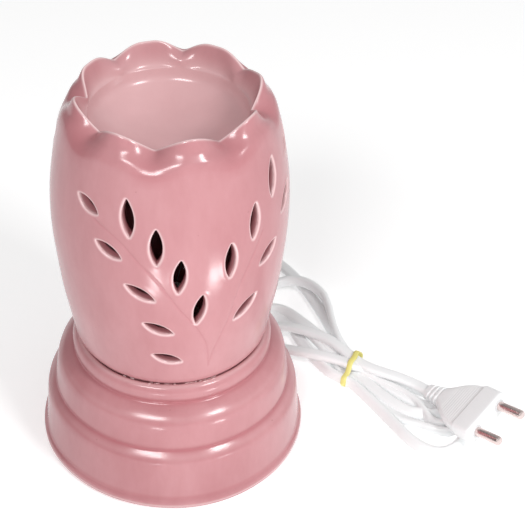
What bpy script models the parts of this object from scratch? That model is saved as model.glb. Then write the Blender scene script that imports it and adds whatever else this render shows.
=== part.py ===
"""Electric ceramic wax and oil warmer: a pierced tulip-shaped shade with a dish in its top,
on a stepped stand that holds a small screw-in bulb, with a bundled mains lead and a two-pin plug.

Metres, +Z up. The origin is on the surface it stands on, on the axis of the stand.
Azimuth is measured in degrees from the front, -Y, towards +X.
"""
import math

import bmesh
import bpy
from mathutils import Euler, Matrix, Vector

MM = 0.001
GAP = 0.3 * MM                      # kept between pieces that touch

# Stand
BASE_R = 70.0 * MM
RIM_Z = 1.0 * MM                    # underside of the ceramic rim
WEB_Z = (56.0 * MM, 61.0 * MM)      # the floor that the lamp holder is clamped to
WEB_HOLE_R = 14.5 * MM
SEAT_R = 46.9 * MM                  # recess that centres the shade
SEAT_TOP_Z = 66.6 * MM
COVER_R = 62.6 * MM
COVER_Z = (3.0 * MM, 4.6 * MM)
FOOT_R = 5.5 * MM
FOOT_RING_R = 52.0 * MM
FOOT_COUNT = 4
CORD_HOLE_R = 4.3 * MM

# Shade
LOBES = 8                           # scallops round the rim
LOBE_AZIMUTH = 13.1                 # where the first scallop peaks
RIM_PEAK = (44.0 * MM, 208.6 * MM)
NOTCH_SHIFT = (-6.0 * MM, -8.6 * MM)
SHOULDER_Z = 193.0 * MM
DISH_EDGE = (38.0 * MM, 196.6 * MM)
DISH_DEPTH = 18.0 * MM
DISH_POWER = 3.6                    # 2 would be a parabola; more has a flatter middle
DISH_WALL = 5.0 * MM
DISH_SHARES = (0.0, 0.32, 0.56, 0.76, 0.9)
SHADE_STEPS = 48
LIP_THICK = 3.4 * MM                 # rim's wall at the dish's edge
PINCH_POWERS = (0.8, 1.8)           # how soon a notch goes in and down, on the outside
LEAF_WIDTH = 6.0 * MM
LEAF_REACH = (36.0 * MM, 70.0 * MM)  # how near and how far from the axis a slot is cut
SPRAYS = 2                          # the same leaf spray on the front and on the back

# Azimuth, height in mm, lean in degrees and length in mm of each leaf slot; a lean to +X is positive
LEAVES = (
    (-20.0, 173.0, -7.0, 18.0), (-6.5, 159.5, 1.0, 18.8), (4.0, 143.0, 7.0, 18.6),
    (13.5, 121.5, 9.0, 18.4), (-42.0, 173.5, -52.0, 14.6), (-29.5, 154.0, -60.0, 14.2),
    (-14.5, 132.5, -60.0, 15.2), (-6.5, 110.0, -64.0, 14.8), (-2.5, 88.5, -68.0, 14.4),
    (28.5, 147.0, 1.0, 18.8), (42.5, 163.0, 9.0, 18.2), (58.5, 178.5, 15.0, 18.0),
    (39.0, 113.5, 50.0, 16.6), (52.0, 140.5, 55.0, 14.4), (70.0, 161.0, 50.0, 15.6),
    (86.0, 184.0, 45.0, 16.0),
)

# Lamp holder and bulb, all turned about the stand's axis
HOLDER_R = 13.2 * MM
HOLDER_Z = (26.0 * MM, 44.0 * MM, 84.0 * MM)
HOLDER_WALL = 1.8 * MM
RING_R = 19.0 * MM
RING_HEIGHT = 5.0 * MM
SHELL_R = (7.3 * MM, 7.9 * MM)
SHELL_Z = (57.0 * MM, 80.0 * MM)
CAP_R = 6.95 * MM
CAP_Z = (60.0 * MM, 84.0 * MM)
CONTACT_Z = 56.4 * MM
BULB_R = 14.0 * MM
BULB_TOP_Z = 128.0 * MM
GLASS = 0.8 * MM

# Mains lead, centreline points in mm
CORD_D = 4.6 * MM
CORD_BEVEL = 2
EXIT_AZIMUTH = 150.0
EXIT_Z = 8.0 * MM
RELIEF_LENGTH = 24.0 * MM
INNER_ROUTE = (
    (0.0, 0.0, 31.0), (0.0, 0.0, 26.0), (0.6, 1.0, 21.0), (3.0, 5.2, 15.5), (7.0, 12.1, 11.5),
    (12.5, 21.7, 9.3), (19.0, 32.9, 8.3), (25.5, 44.2, 8.0), (31.0, 53.7, 8.0),
)
LEAD_ROUTE = (
    (31.2, 54.0, 8.0), (36.0, 62.4, 8.0), (41.0, 71.0, 8.0), (46.0, 79.6, 7.8), (50.0, 86.0, 7.4),
)
TAIL_ROUTE = (
    (107.6, 28.2, 8.6), (113.0, 25.0, 8.8), (120.0, 21.2, 8.0), (127.0, 17.6, 6.9),
    (133.5, 14.2, 6.1), (138.6, 10.6, 5.8), (141.0, 7.3, 6.7),
)

# Bundle: two outlines on the surface, in mm, and the tie between them
TIE = (101.5, 29.0)
TIE_HEADING = -28.0
TIE_SIZE = (23.4 * MM, 9.0 * MM)
TIE_LENGTH = 3.2 * MM
TIE_THICK = 1.0 * MM
BUNDLE_Z = (1.3 * MM, 10.0 * MM)
LOOPS_Z = (0.2 * MM, 3.3 * MM)
BUNDLE_OUTLINE = (
    (100.5, 16.6), (111.2, 36.8), (104.2, 40.5), (102.0, 56.0), (100.5, 70.0), (96.0, 90.0),
    (87.0, 110.0), (75.0, 132.0), (60.0, 145.0), (40.0, 148.5), (24.0, 140.0), (16.5, 122.0),
    (22.0, 104.0), (34.0, 91.5), (45.0, 89.0), (53.5, 84.2), (50.5, 77.0), (49.0, 68.0),
    (51.5, 57.0), (58.5, 46.0), (66.5, 37.0), (80.0, 31.0), (93.5, 20.3),
)
LOOPS_OUTLINE = (
    (101.0, 16.3), (105.8, 7.5), (111.5, -6.0), (117.5, -20.0), (127.5, -34.0), (139.0, -39.5),
    (150.5, -36.0), (157.5, -24.0), (158.5, -10.0), (151.5, 2.5), (140.0, 6.5), (125.0, 18.0),
    (111.7, 36.4),
)

# Plug: centre of its front face in mm, and the angles it lies at
PLUG_AT = (166.1, -27.5, 20.2)
PLUG_TURN = (21.2, -17.5, -54.2)
PIN_SPACING = 19.0 * MM
PIN_R = 2.5 * MM
PIN_LENGTH = 16.0 * MM
PIN_CHAMFER = 0.7 * MM
# Distance behind the front face, half width, half thickness, corner rounding, all in mm
PLUG_SECTIONS = (
    (0.0, 15.3, 5.3, 2.2), (-1.2, 15.8, 5.7, 2.4), (-12.0, 15.8, 5.7, 2.4), (-13.0, 15.0, 5.2, 2.4),
    (-20.0, 13.8, 5.0, 2.6), (-27.0, 9.8, 4.6, 2.8), (-32.0, 6.4, 4.2, 3.0), (-36.0, 5.2, 3.9, 2.8),
    (-44.0, 4.6, 3.2, 2.4),
)

COLLECTION = "ceramic_wax_warmer"


def clear_scene():
    for old in list(bpy.data.objects):
        bpy.data.objects.remove(old, do_unlink=True)


def collection(name):
    made = bpy.data.collections.new(name)
    bpy.context.scene.collection.children.link(made)
    return made


def principled(name, colour, roughness, metallic=0.0):
    material = bpy.data.materials.new(name)
    material.use_nodes = True
    shader = material.node_tree.nodes["Principled BSDF"]
    shader.inputs["Base Color"].default_value = (*colour, 1.0)
    shader.inputs["Roughness"].default_value = roughness
    shader.inputs["Metallic"].default_value = metallic
    return material


def place(name, mesh, material, group=None):
    """Links a mesh to the model under a sub-part's name."""
    part = bpy.data.objects.new(name, mesh)
    (group or PARTS).objects.link(part)
    if material:
        mesh.materials.clear()
        mesh.materials.append(material)
    mesh.shade_smooth()
    mesh.set_sharp_from_angle(angle=math.radians(40))
    return part


def hide_as_cutter(part):
    part.hide_render = True
    part.display_type = "WIRE"
    return part


def evaluated_mesh(part):
    """The object's mesh with its modifiers applied; the object itself is removed."""
    graph = bpy.context.evaluated_depsgraph_get()
    mesh = bpy.data.meshes.new_from_object(part.evaluated_get(graph), depsgraph=graph)
    mesh.transform(part.matrix_world)
    bpy.data.objects.remove(part, do_unlink=True)
    return mesh


def welded(mesh, distance=1e-6):
    work = bmesh.new()
    work.from_mesh(mesh)
    bmesh.ops.remove_doubles(work, verts=work.verts, dist=distance)
    bmesh.ops.recalc_face_normals(work, faces=work.faces)
    work.to_mesh(mesh)
    work.free()
    return mesh


def turned_mesh(name, profile, steps, closed=True):
    """Turns a profile of (radius, height) about Z; an open one starts and ends on the axis."""
    mesh = bpy.data.meshes.new(name)
    count = len(profile)
    edges = [(i, i + 1) for i in range(count - 1)]
    if closed:
        edges.append((count - 1, 0))
    mesh.from_pydata([(r, 0.0, z) for r, z in profile], edges, [])
    blank = bpy.data.objects.new(name, mesh)
    PARTS.objects.link(blank)
    screw = blank.modifiers.new("turn", "SCREW")
    screw.axis = "Z"
    screw.angle = math.tau
    screw.steps = screw.render_steps = steps
    screw.use_merge_vertices = True
    screw.merge_threshold = 1e-6
    return welded(evaluated_mesh(blank))


def turned(name, profile, material, steps=32, closed=True):
    return place(name, turned_mesh(name, profile, steps, closed), material)


def smooth_line(points, parts):
    """Catmull-Rom curve through the points, with that many steps between each two."""
    line = []
    last = len(points) - 1
    for i in range(last):
        a, b, c, d = (Vector(points[k]) for k in (max(i - 1, 0), i, i + 1, min(i + 2, last)))
        for j in range(parts):
            t = j / parts
            line.append(0.5 * (2 * b + (c - a) * t + (2 * a - 5 * b + 4 * c - d) * t**2
                               + (3 * b - a - 3 * c + d) * t**3))
    line.append(Vector(points[last]))
    return line


def smooth_profile(points, parts):
    """The same for a profile given in mm."""
    return [(p.x * MM, p.y * MM) for p in smooth_line([(r, z, 0.0) for r, z in points], parts)]


def tube(name, points, diameter, material, parts=2, smooth=True):
    """A round tube along points given in mm, with closed ends."""
    line = smooth_line(points, parts) if smooth else [Vector(p) for p in points]
    curve = bpy.data.curves.new(name, "CURVE")
    curve.dimensions = "3D"
    curve.bevel_depth = diameter / 2
    curve.bevel_resolution = CORD_BEVEL
    curve.use_fill_caps = True
    spline = curve.splines.new("POLY")
    spline.points.add(len(line) - 1)
    for point, at in zip(spline.points, line):
        point.co = (*(at * MM), 1.0)
    wire = bpy.data.objects.new(name, curve)
    PARTS.objects.link(wire)
    return place(name, welded(evaluated_mesh(wire)), material)


def slab_mesh(name, outline, low, high):
    """A flat plate with that outline of (x, y) in metres, from one height to another."""
    curve = bpy.data.curves.new(name, "CURVE")
    curve.dimensions = "2D"
    curve.fill_mode = "BOTH"
    curve.extrude = (high - low) / 2
    spline = curve.splines.new("POLY")
    spline.points.add(len(outline) - 1)
    spline.use_cyclic_u = True
    for point, (x, y) in zip(spline.points, outline):
        point.co = (x, y, 0.0, 1.0)
    plate = bpy.data.objects.new(name, curve)
    plate.location.z = (low + high) / 2
    PARTS.objects.link(plate)
    bpy.context.view_layer.update()
    return welded(evaluated_mesh(plate))


def box(name, size, at, material):
    mesh = bpy.data.meshes.new(name)
    work = bmesh.new()
    bmesh.ops.create_cube(work, size=1.0, matrix=Matrix.Translation(at) @ Matrix.Diagonal((*size, 1.0)))
    work.to_mesh(mesh)
    work.free()
    return place(name, mesh, material)


def rod(name, radius, start, end, material, sides=16, group=None):
    """A plain cylinder between two points."""
    start, end = Vector(start), Vector(end)
    along = end - start
    turn = along.to_track_quat("Z", "Y").to_matrix().to_4x4()
    mesh = bpy.data.meshes.new(name)
    work = bmesh.new()
    bmesh.ops.create_cone(work, cap_ends=True, segments=sides, radius1=radius, radius2=radius,
                          depth=along.length, matrix=Matrix.Translation((start + end) / 2) @ turn)
    work.to_mesh(mesh)
    work.free()
    return place(name, mesh, material, group)


def cut(part, cutter=None, group=None):
    """Takes a cutter, or a collection of cutters, out of a part."""
    boolean = part.modifiers.new("cut", "BOOLEAN")
    boolean.operation = "DIFFERENCE"
    boolean.solver = "EXACT"
    if group:
        boolean.operand_type = "COLLECTION"
        boolean.collection = group
    else:
        boolean.object = cutter


def outward(azimuth):
    angle = math.radians(azimuth)
    return Vector((math.sin(angle), -math.cos(angle), 0.0))


# ---- stand ---------------------------------------------------------------------------------


def make_stand():
    outer = smooth_profile((
        (46.9, 66.3), (48.6, 67.0), (50.4, 66.0), (51.6, 63.4), (51.9, 60.4), (51.2, 57.8),
        (51.6, 56.4), (54.0, 54.4), (57.2, 51.0), (59.3, 46.5), (60.8, 41.0), (61.6, 36.6),
        (61.4, 34.2), (62.8, 32.4), (64.8, 28.6), (66.3, 22.5), (67.4, 15.0), (68.4, 8.0),
        (69.4, 4.6), (70.0, 2.8), (69.2, 1.4), (67.4, 1.0),
    ), 1)
    inner = [(r * MM, z * MM) for r, z in (
        (63.0, 1.0), (62.9, 4.9), (61.0, 4.9), (60.4, 12.0), (59.0, 22.0), (56.4, 29.0),
        (54.6, 35.0), (53.2, 44.0), (49.5, 49.5), (44.5, 53.6), (40.0, 55.4), (34.0, 56.0),
    )]
    web = [(WEB_HOLE_R, WEB_Z[0]), (WEB_HOLE_R, WEB_Z[1]), (SEAT_R, WEB_Z[1])]
    stand = turned("base_stand", outer + inner + web, GLAZE, steps=48)
    reach = outward(EXIT_AZIMUTH)
    hole = rod("cord_hole_cutter", CORD_HOLE_R, reach * 50 * MM + Vector((0, 0, EXIT_Z)),
               reach * 80 * MM + Vector((0, 0, EXIT_Z)), None, group=CUTTERS)
    cut(stand, hide_as_cutter(hole))

    low, high = COVER_Z
    turned("bottom_cover", [
        (0.0, high), (COVER_R - 1.2 * MM, high), (COVER_R, high - 0.5 * MM), (COVER_R, low),
        (0.0, low),
    ], BLACK_PLASTIC, steps=36, closed=False)
    for number in range(FOOT_COUNT):
        at = outward(45 + number * 360 / FOOT_COUNT) * FOOT_RING_R
        foot = turned(f"foot_{number + 1}", [
            (0.0, low - GAP), (FOOT_R, low - GAP), (FOOT_R, 0.8 * MM), (FOOT_R - 0.8 * MM, 0.0),
            (0.0, 0.0),
        ], RUBBER, steps=16, closed=False)
        foot.data.transform(Matrix.Translation(at))


# ---- shade ---------------------------------------------------------------------------------


def bowl(radii, wall=0.0):
    """Points of the dish's curve at those radii, moved out by the wall's thickness."""
    edge_r, edge_z = DISH_EDGE
    points = []
    for r in radii:
        slope = DISH_DEPTH * DISH_POWER / edge_r * (r / edge_r)**(DISH_POWER - 1)
        shift = wall / math.hypot(1.0, slope)
        height = edge_z - DISH_DEPTH * (1 - (r / edge_r)**DISH_POWER)
        points.append((r + shift * slope, height - shift))
    return points


def shade_profile():
    """The section through a scallop's peak: the dish's face from the axis out to the rim, down the
    outside, then up the chamber and back to the axis along the dish's underside."""
    rim_r, rim_z = (v / MM for v in RIM_PEAK)
    edge_r, edge_z = (v / MM for v in DISH_EDGE)
    outer = smooth_profile((
        (rim_r - 1.6, rim_z + 0.1), (rim_r - 0.3, rim_z - 0.6), (46.4, 205.2), (48.0, 201.6),
        (49.3, 198.2), (50.8, 193.0), (53.6, 184.0), (55.6, 174.0), (57.5, 160.5), (58.2, 146.0),
        (57.8, 131.5), (56.4, 116.0), (54.6, 101.0), (52.4, 88.0), (50.6, 78.0), (49.4, 71.5),
        (48.0, 68.4), (46.3, 66.0), (45.9, 61.3),
    ), 1)
    chamber = [(r * MM, z * MM) for r, z in (
        (40.9, 61.3), (41.2, 67.0), (47.2, 88.0), (51.2, 116.0), (53.0, 143.0), (50.4, 173.0),
        (47.6, 182.5), (44.5, 187.6),
    )]
    radii = [DISH_EDGE[0] * share for share in DISH_SHARES]
    dish = bowl(radii)
    underside = bowl(reversed(radii), DISH_WALL)
    lip = smooth_profile((
        (edge_r, edge_z - 0.3), (edge_r + 1.7, edge_z + 1.4), (edge_r + 3.2, edge_z + 5.0),
        (rim_r - 3.0, rim_z - 1.2),
    ), 1)
    return dish + lip + outer + chamber + underside


def scallop(mesh):
    """Pinches the rim in and down between the scallops."""
    turn = math.tau / SHADE_STEPS
    first_notch = math.radians(LOBE_AZIMUTH - 90.0 + 180.0 / LOBES)
    mesh.transform(Matrix.Rotation(first_notch % turn, 4, "Z"))
    for vertex in mesh.vertices:
        x, y, z = vertex.co
        radius = math.hypot(x, y)
        if radius < DISH_EDGE[0] - 1 * MM:
            continue
        outside = radius > DISH_EDGE[0] + (z - DISH_EDGE[1]) * 0.5 + LIP_THICK
        foot = SHOULDER_Z if outside else DISH_EDGE[1]
        rise = min(max((z - foot) / (RIM_PEAK[1] - foot), 0.0), 1.0)
        if rise == 0.0:
            continue
        lobe = abs(math.cos(LOBES / 2 * (math.atan2(y, x) - first_notch + math.pi / LOBES)))
        pinch = 1.0 - lobe
        inward = rise**PINCH_POWERS[0] if outside else rise
        down = rise**PINCH_POWERS[1] if outside else rise
        scale = (radius + NOTCH_SHIFT[0] * inward * pinch) / radius
        vertex.co = (x * scale, y * scale, z + NOTCH_SHIFT[1] * down * pinch)


def leaf_outline(length, parts=5):
    """A pointed leaf made of two arcs."""
    half_length, half_width = length / 2, LEAF_WIDTH / 2
    radius = (half_length**2 + half_width**2) / (2 * half_width)
    sweep = math.asin(half_length / radius)
    side = [(radius * math.cos(a) - (radius - half_width), radius * math.sin(a))
            for a in (sweep * (2 * i / parts - 1) for i in range(parts))]
    return side + [(-x, -y) for x, y in side]


def make_shade():
    mesh = turned_mesh("tulip_shade", shade_profile(), SHADE_STEPS, closed=False)
    scallop(mesh)
    shade = place("tulip_shade", welded(mesh), GLAZE)
    for spray in range(SPRAYS):
        for number, (azimuth, height, lean, length) in enumerate(LEAVES):
            leaf_mesh = slab_mesh("leaf", leaf_outline(length * MM), *LEAF_REACH)
            angle = math.radians(azimuth + spray * 360 / SPRAYS)
            cutter = bpy.data.objects.new(f"leaf_cutter_{spray + 1}_{number + 1}", leaf_mesh)
            cutter.matrix_world = (
                Matrix.Translation((0, 0, height * MM)) @ Matrix.Rotation(angle, 4, "Z")
                @ Matrix.Rotation(math.pi / 2, 4, "X") @ Matrix.Rotation(-math.radians(lean), 4, "Z"))
            LEAF_CUTTERS.objects.link(hide_as_cutter(cutter))
    cut(shade, group=LEAF_CUTTERS)


# ---- lamp holder and bulb ------------------------------------------------------------------


def make_holder():
    bottom, joint, top = HOLDER_Z
    wall = HOLDER_WALL
    turned("holder_dome", [
        (HOLDER_R, joint - GAP), (HOLDER_R, bottom + 7 * MM), (HOLDER_R - 3 * MM, bottom + 1.5 * MM),
        (HOLDER_R - 6 * MM, bottom), (3.4 * MM, bottom), (3.4 * MM, bottom + wall),
        (HOLDER_R - 6 * MM, bottom + wall), (HOLDER_R - wall, bottom + 8 * MM),
        (HOLDER_R - wall, joint - GAP),
    ], WHITE_PLASTIC, steps=24)
    turned("holder_skirt", [
        (HOLDER_R - 1.2 * MM, top), (HOLDER_R, top - 1.2 * MM), (HOLDER_R, joint),
        (HOLDER_R - wall, joint), (HOLDER_R - wall, top - 2.6 * MM), (9.0 * MM, top - 2.0 * MM),
        (9.0 * MM, top),
    ], WHITE_PLASTIC, steps=24)
    for name, low in (("holder_ring_upper", WEB_Z[1] + GAP),
                      ("holder_ring_lower", WEB_Z[0] - GAP - RING_HEIGHT)):
        turned(name, [
            (RING_R - 0.8 * MM, low + RING_HEIGHT), (RING_R, low + RING_HEIGHT - 0.8 * MM),
            (RING_R, low + 0.8 * MM), (RING_R - 0.8 * MM, low), (HOLDER_R + GAP, low),
            (HOLDER_R + GAP, low + RING_HEIGHT),
        ], WHITE_PLASTIC, steps=24)
    turned("holder_core", [
        (0.0, 51.0 * MM), (6.4 * MM, 51.0 * MM), (6.4 * MM, 55.4 * MM), (11.0 * MM, 55.4 * MM),
        (11.0 * MM, 46.6 * MM), (0.0, 46.6 * MM),
    ], STEATITE, steps=24, closed=False)
    turned("screw_shell", [
        (SHELL_R[1], SHELL_Z[1]), (SHELL_R[1], SHELL_Z[0]), (9.6 * MM, SHELL_Z[0]),
        (9.6 * MM, SHELL_Z[0] - 1.0 * MM), (6.9 * MM, SHELL_Z[0] - 1.0 * MM),
        (SHELL_R[0], SHELL_Z[0] + 0.4 * MM), (SHELL_R[0], SHELL_Z[1]),
    ], BRASS, steps=24)
    tongue = ((-5.0, 51.6), (-4.0, 51.4), (0.5, 55.4), (2.4, 55.5), (2.3, 54.9), (0.8, 54.8), (-3.8, 51.3))
    outline = [(x * MM, z * MM) for x, z in tongue]
    contact = slab_mesh("centre_contact", outline, -1.8 * MM, 1.8 * MM)
    contact.transform(Matrix.Rotation(math.pi / 2, 4, "X"))
    place("centre_contact", contact, BRASS)
    for side, name in ((-1, "live"), (1, "neutral")):
        x = side * 6.2 * MM
        box(f"terminal_{name}", (4.0 * MM, 5.0 * MM, 6.0 * MM), (x, 0.0, 43.2 * MM), BRASS)
        rod(f"terminal_screw_{name}", 1.4 * MM, (x, -2.8 * MM, 43.0 * MM), (x, -5.0 * MM, 43.0 * MM),
            STEEL, sides=14)
        tube(f"wire_{name}", [
            (side * 1.25, 0.0, 31.6), (side * 1.4, 0.0, 33.2), (side * 2.8, 0.4, 35.4),
            (side * 5.2, 0.8, 37.2), (side * 6.2, 1.0, 39.9),
        ], 1.7 * MM, WIRE_COLOURS[name])


def make_bulb():
    low, high = CAP_Z
    rim = BULB_R / MM
    top = BULB_TOP_Z / MM
    outer = smooth_profile((
        (0.0, top), (6.0, top - 1.4), (10.6, top - 5.4), (13.4, top - 11.6), (rim, top - 18.6),
        (13.3, top - 26.0), (10.6, top - 33.5), (7.6, top - 39.5), (6.0, top - 43.4), (5.9, top - 46.0),
    ), 1)
    thick = GLASS / MM
    inner = smooth_profile((
        (5.9 - thick, top - 46.0), (6.0 - thick, top - 43.2), (7.6 - thick, top - 39.1),
        (10.6 - thick, top - 33.0), (13.3 - thick, top - 25.8), (rim - thick, top - 18.6),
        (13.4 - thick, top - 11.9), (10.6 - thick * 0.7, top - 5.9), (6.0 - thick * 0.4, top - 2.2),
        (0.0, top - thick),
    ), 1)
    turned("bulb_glass", outer + inner, CLEAR_GLASS, steps=24, closed=False)
    turned("bulb_cap", [
        (CAP_R, high - 1.5 * MM), (CAP_R, low), (5.2 * MM, low - 1.6 * MM), (4.7 * MM, low - 1.2 * MM),
        (6.3 * MM, low + 0.6 * MM), (6.3 * MM, high - 1.5 * MM),
    ], BRASS, steps=24)
    turned("bulb_insulator", [
        (0.0, low - 0.4 * MM), (4.3 * MM, low - 0.8 * MM), (4.8 * MM, low - 1.7 * MM),
        (3.0 * MM, low - 2.6 * MM), (0.0, low - 2.6 * MM),
    ], BLACK_PLASTIC, steps=20, closed=False)
    turned("bulb_contact", [
        (0.0, low - 2.9 * MM), (2.3 * MM, low - 2.9 * MM), (1.6 * MM, CONTACT_Z + 0.1 * MM),
        (0.0, CONTACT_Z),
    ], SOLDER, steps=16, closed=False)
    turned("bulb_stem", [
        (0.0, 98.0 * MM), (1.3 * MM, 97.2 * MM), (1.3 * MM, 88.0 * MM), (3.6 * MM, 84.5 * MM),
        (3.6 * MM, 83.4 * MM), (0.0, 83.4 * MM),
    ], CLEAR_GLASS, steps=16, closed=False)
    tube("bulb_filament", [
        (-2.2, 0.0, 89.0), (-3.0, 0.0, 94.0), (-6.2, 0.0, 108.0), (-5.6, 0.0, 109.4),
        (-3.0, 2.0, 111.6), (0.0, 3.0, 112.6), (3.0, 2.0, 111.6), (5.6, 0.0, 109.4),
        (6.2, 0.0, 108.0), (3.0, 0.0, 94.0), (2.2, 0.0, 89.0),
    ], 0.5 * MM, STEEL, smooth=False)


# ---- mains lead ----------------------------------------------------------------------------


def make_lead():
    tube("cord_inner", INNER_ROUTE, CORD_D, WHITE_PVC)
    tube("cord_lead", LEAD_ROUTE, CORD_D, WHITE_PVC)
    tube("cord_tail", TAIL_ROUTE, CORD_D, WHITE_PVC)
    bore = CORD_D / 2 + 0.4 * MM
    # along the relief's own axis, with z = 0 just outside the stand's wall
    relief = turned_mesh("strain_relief", [
        (3.4 * MM, RELIEF_LENGTH - 3.0 * MM), (3.9 * MM, 8.0 * MM), (4.9 * MM, 2.2 * MM),
        (6.2 * MM, 1.8 * MM), (6.2 * MM, 0.6 * MM), (4.0 * MM, 0.6 * MM), (4.0 * MM, -7.4 * MM),
        (bore, -7.4 * MM),
        (bore, RELIEF_LENGTH - 3.0 * MM),
    ], 16)
    reach = outward(EXIT_AZIMUTH)
    turn = reach.to_track_quat("Z", "Y").to_matrix().to_4x4()
    at = reach * (BASE_R + GAP) + Vector((0, 0, EXIT_Z))
    relief.transform(Matrix.Translation(at) @ turn)
    place("strain_relief", relief, WHITE_PVC)

    in_metres = [(x * MM, y * MM) for x, y in BUNDLE_OUTLINE]
    place("cord_hank", slab_mesh("cord_hank", in_metres, *BUNDLE_Z), WHITE_PVC)
    in_metres = [(x * MM, y * MM) for x, y in LOOPS_OUTLINE]
    place("cord_loops", slab_mesh("cord_loops", in_metres, *LOOPS_Z), WHITE_PVC)


def make_plug():
    turn = Euler([math.radians(a) for a in PLUG_TURN]).to_matrix().to_4x4()
    pose = Matrix.Translation(Vector(PLUG_AT) * MM) @ turn
    work = bmesh.new()
    rings = []
    for along, half_width, half_thick, rounding in PLUG_SECTIONS:
        ring = []
        for cx, cy, start in ((1, 1, 0), (-1, 1, 90), (-1, -1, 180), (1, -1, 270)):
            for step in range(4):
                angle = math.radians(start + step * 30)
                y = cx * (half_width - rounding) + rounding * math.cos(angle)
                z = cy * (half_thick - rounding) + rounding * math.sin(angle)
                ring.append(work.verts.new(Vector((along, y, z)) * MM))
        rings.append(ring)
    for near, far in zip(rings, rings[1:]):
        for i in range(len(near)):
            j = (i + 1) % len(near)
            work.faces.new((near[i], near[j], far[j], far[i]))
    work.faces.new(rings[0])
    work.faces.new(rings[-1])
    bmesh.ops.recalc_face_normals(work, faces=work.faces)
    mesh = bpy.data.meshes.new("plug_body")
    work.to_mesh(mesh)
    work.free()
    mesh.transform(pose)
    place("plug_body", mesh, WHITE_PVC)
    for number, side in ((1, 1), (2, -1)):
        pin = turned_mesh(f"plug_pin_{number}", [
            (0.0, PIN_LENGTH), (PIN_R - PIN_CHAMFER, PIN_LENGTH), (PIN_R, PIN_LENGTH - PIN_CHAMFER),
            (PIN_R, GAP), (0.0, GAP),
        ], 16, closed=False)
        along_x = Matrix.Rotation(math.pi / 2, 4, "Y")
        pin.transform(pose @ Matrix.Translation((0, side * PIN_SPACING / 2, 0)) @ along_x)
        place(f"plug_pin_{number}", pin, NICKEL)


def make_tie():
    """A flat band round the bundle."""
    width, height = TIE_SIZE
    low = BUNDLE_Z[0] - GAP
    high = height + 2 * GAP
    outer = box("cord_band", (TIE_LENGTH, width + 2 * TIE_THICK, high + 2 * TIE_THICK),
                (0, 0, low + height / 2 + GAP), YELLOW_BAND)
    inner = box("band_cutter", (3 * TIE_LENGTH, width, high), (0, 0, low + height / 2 + GAP), None)
    PARTS.objects.unlink(inner)
    CUTTERS.objects.link(hide_as_cutter(inner))
    for piece in (outer, inner):
        piece.location = (TIE[0] * MM, TIE[1] * MM, 0)
        piece.rotation_euler.z = math.radians(TIE_HEADING)
    cut(outer, inner)


clear_scene()
PARTS = collection(COLLECTION)
CUTTERS = collection("cutters")
LEAF_CUTTERS = collection("leaf_cutters")

GLAZE = principled("pink_glaze", (0.72, 0.30, 0.33), 0.12)
WHITE_PLASTIC = principled("white_holder_plastic", (0.85, 0.84, 0.80), 0.35)
BLACK_PLASTIC = principled("black_plastic", (0.03, 0.03, 0.03), 0.45)
RUBBER = principled("rubber", (0.05, 0.05, 0.05), 0.8)
STEATITE = principled("steatite", (0.82, 0.80, 0.74), 0.5)
BRASS = principled("brass", (0.80, 0.62, 0.30), 0.3, 1.0)
STEEL = principled("steel", (0.60, 0.60, 0.62), 0.35, 1.0)
NICKEL = principled("nickel_plate", (0.75, 0.73, 0.70), 0.22, 1.0)
SOLDER = principled("solder", (0.62, 0.62, 0.60), 0.45, 1.0)
CLEAR_GLASS = principled("clear_glass", (0.95, 0.97, 0.97), 0.03)
WHITE_PVC = principled("white_pvc", (0.88, 0.88, 0.88), 0.4)
YELLOW_BAND = principled("yellow_band", (0.85, 0.78, 0.25), 0.6)
WIRE_COLOURS = {
    "live": principled("wire_live", (0.35, 0.15, 0.06), 0.5),
    "neutral": principled("wire_neutral", (0.08, 0.20, 0.60), 0.5),
}

make_stand()
make_shade()
make_holder()
make_bulb()
make_lead()
make_plug()
make_tie()
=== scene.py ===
"""The looks of a ceramic wax warmer: a pierced tulip shade with a dish in its top on a stepped
stand, a small bulb inside, and a white twin lead in a bundle with a two-pin plug.

Lengths are in millimetres until a mesh is made, +Z up, the origin on the table on the stand's axis.
Azimuth is in degrees from the front, -Y, towards +X.
"""
import math

import bmesh
import bpy
import numpy as np
from mathutils import Euler, Matrix, Vector
from mathutils.geometry import delaunay_2d_cdt
from mathutils.kdtree import KDTree


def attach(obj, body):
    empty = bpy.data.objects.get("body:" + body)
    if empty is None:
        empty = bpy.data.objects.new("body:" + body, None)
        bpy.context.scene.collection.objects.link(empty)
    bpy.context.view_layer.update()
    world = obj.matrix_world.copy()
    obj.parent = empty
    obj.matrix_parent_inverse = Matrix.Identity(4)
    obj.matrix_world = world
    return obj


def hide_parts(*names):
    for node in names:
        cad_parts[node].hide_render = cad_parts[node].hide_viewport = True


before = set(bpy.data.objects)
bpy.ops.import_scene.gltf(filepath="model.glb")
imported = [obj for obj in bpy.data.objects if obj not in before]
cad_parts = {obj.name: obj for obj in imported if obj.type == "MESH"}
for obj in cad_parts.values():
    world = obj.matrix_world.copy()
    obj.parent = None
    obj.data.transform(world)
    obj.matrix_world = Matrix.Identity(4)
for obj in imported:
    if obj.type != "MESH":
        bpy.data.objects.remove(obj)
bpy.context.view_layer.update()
MM = 0.001
SCENE = bpy.context.scene.collection

# ---- camera ----

CAMERA_AT = (0.0, -0.55058, 0.54641)    # metres
CAMERA_PITCH = 38.654               # degrees below level
CAMERA_ROLL = -0.752
CAMERA_LENS = 96.0                  # mm, on a sensor of 36 mm
CAMERA_SHIFT = 0.1749


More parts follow.
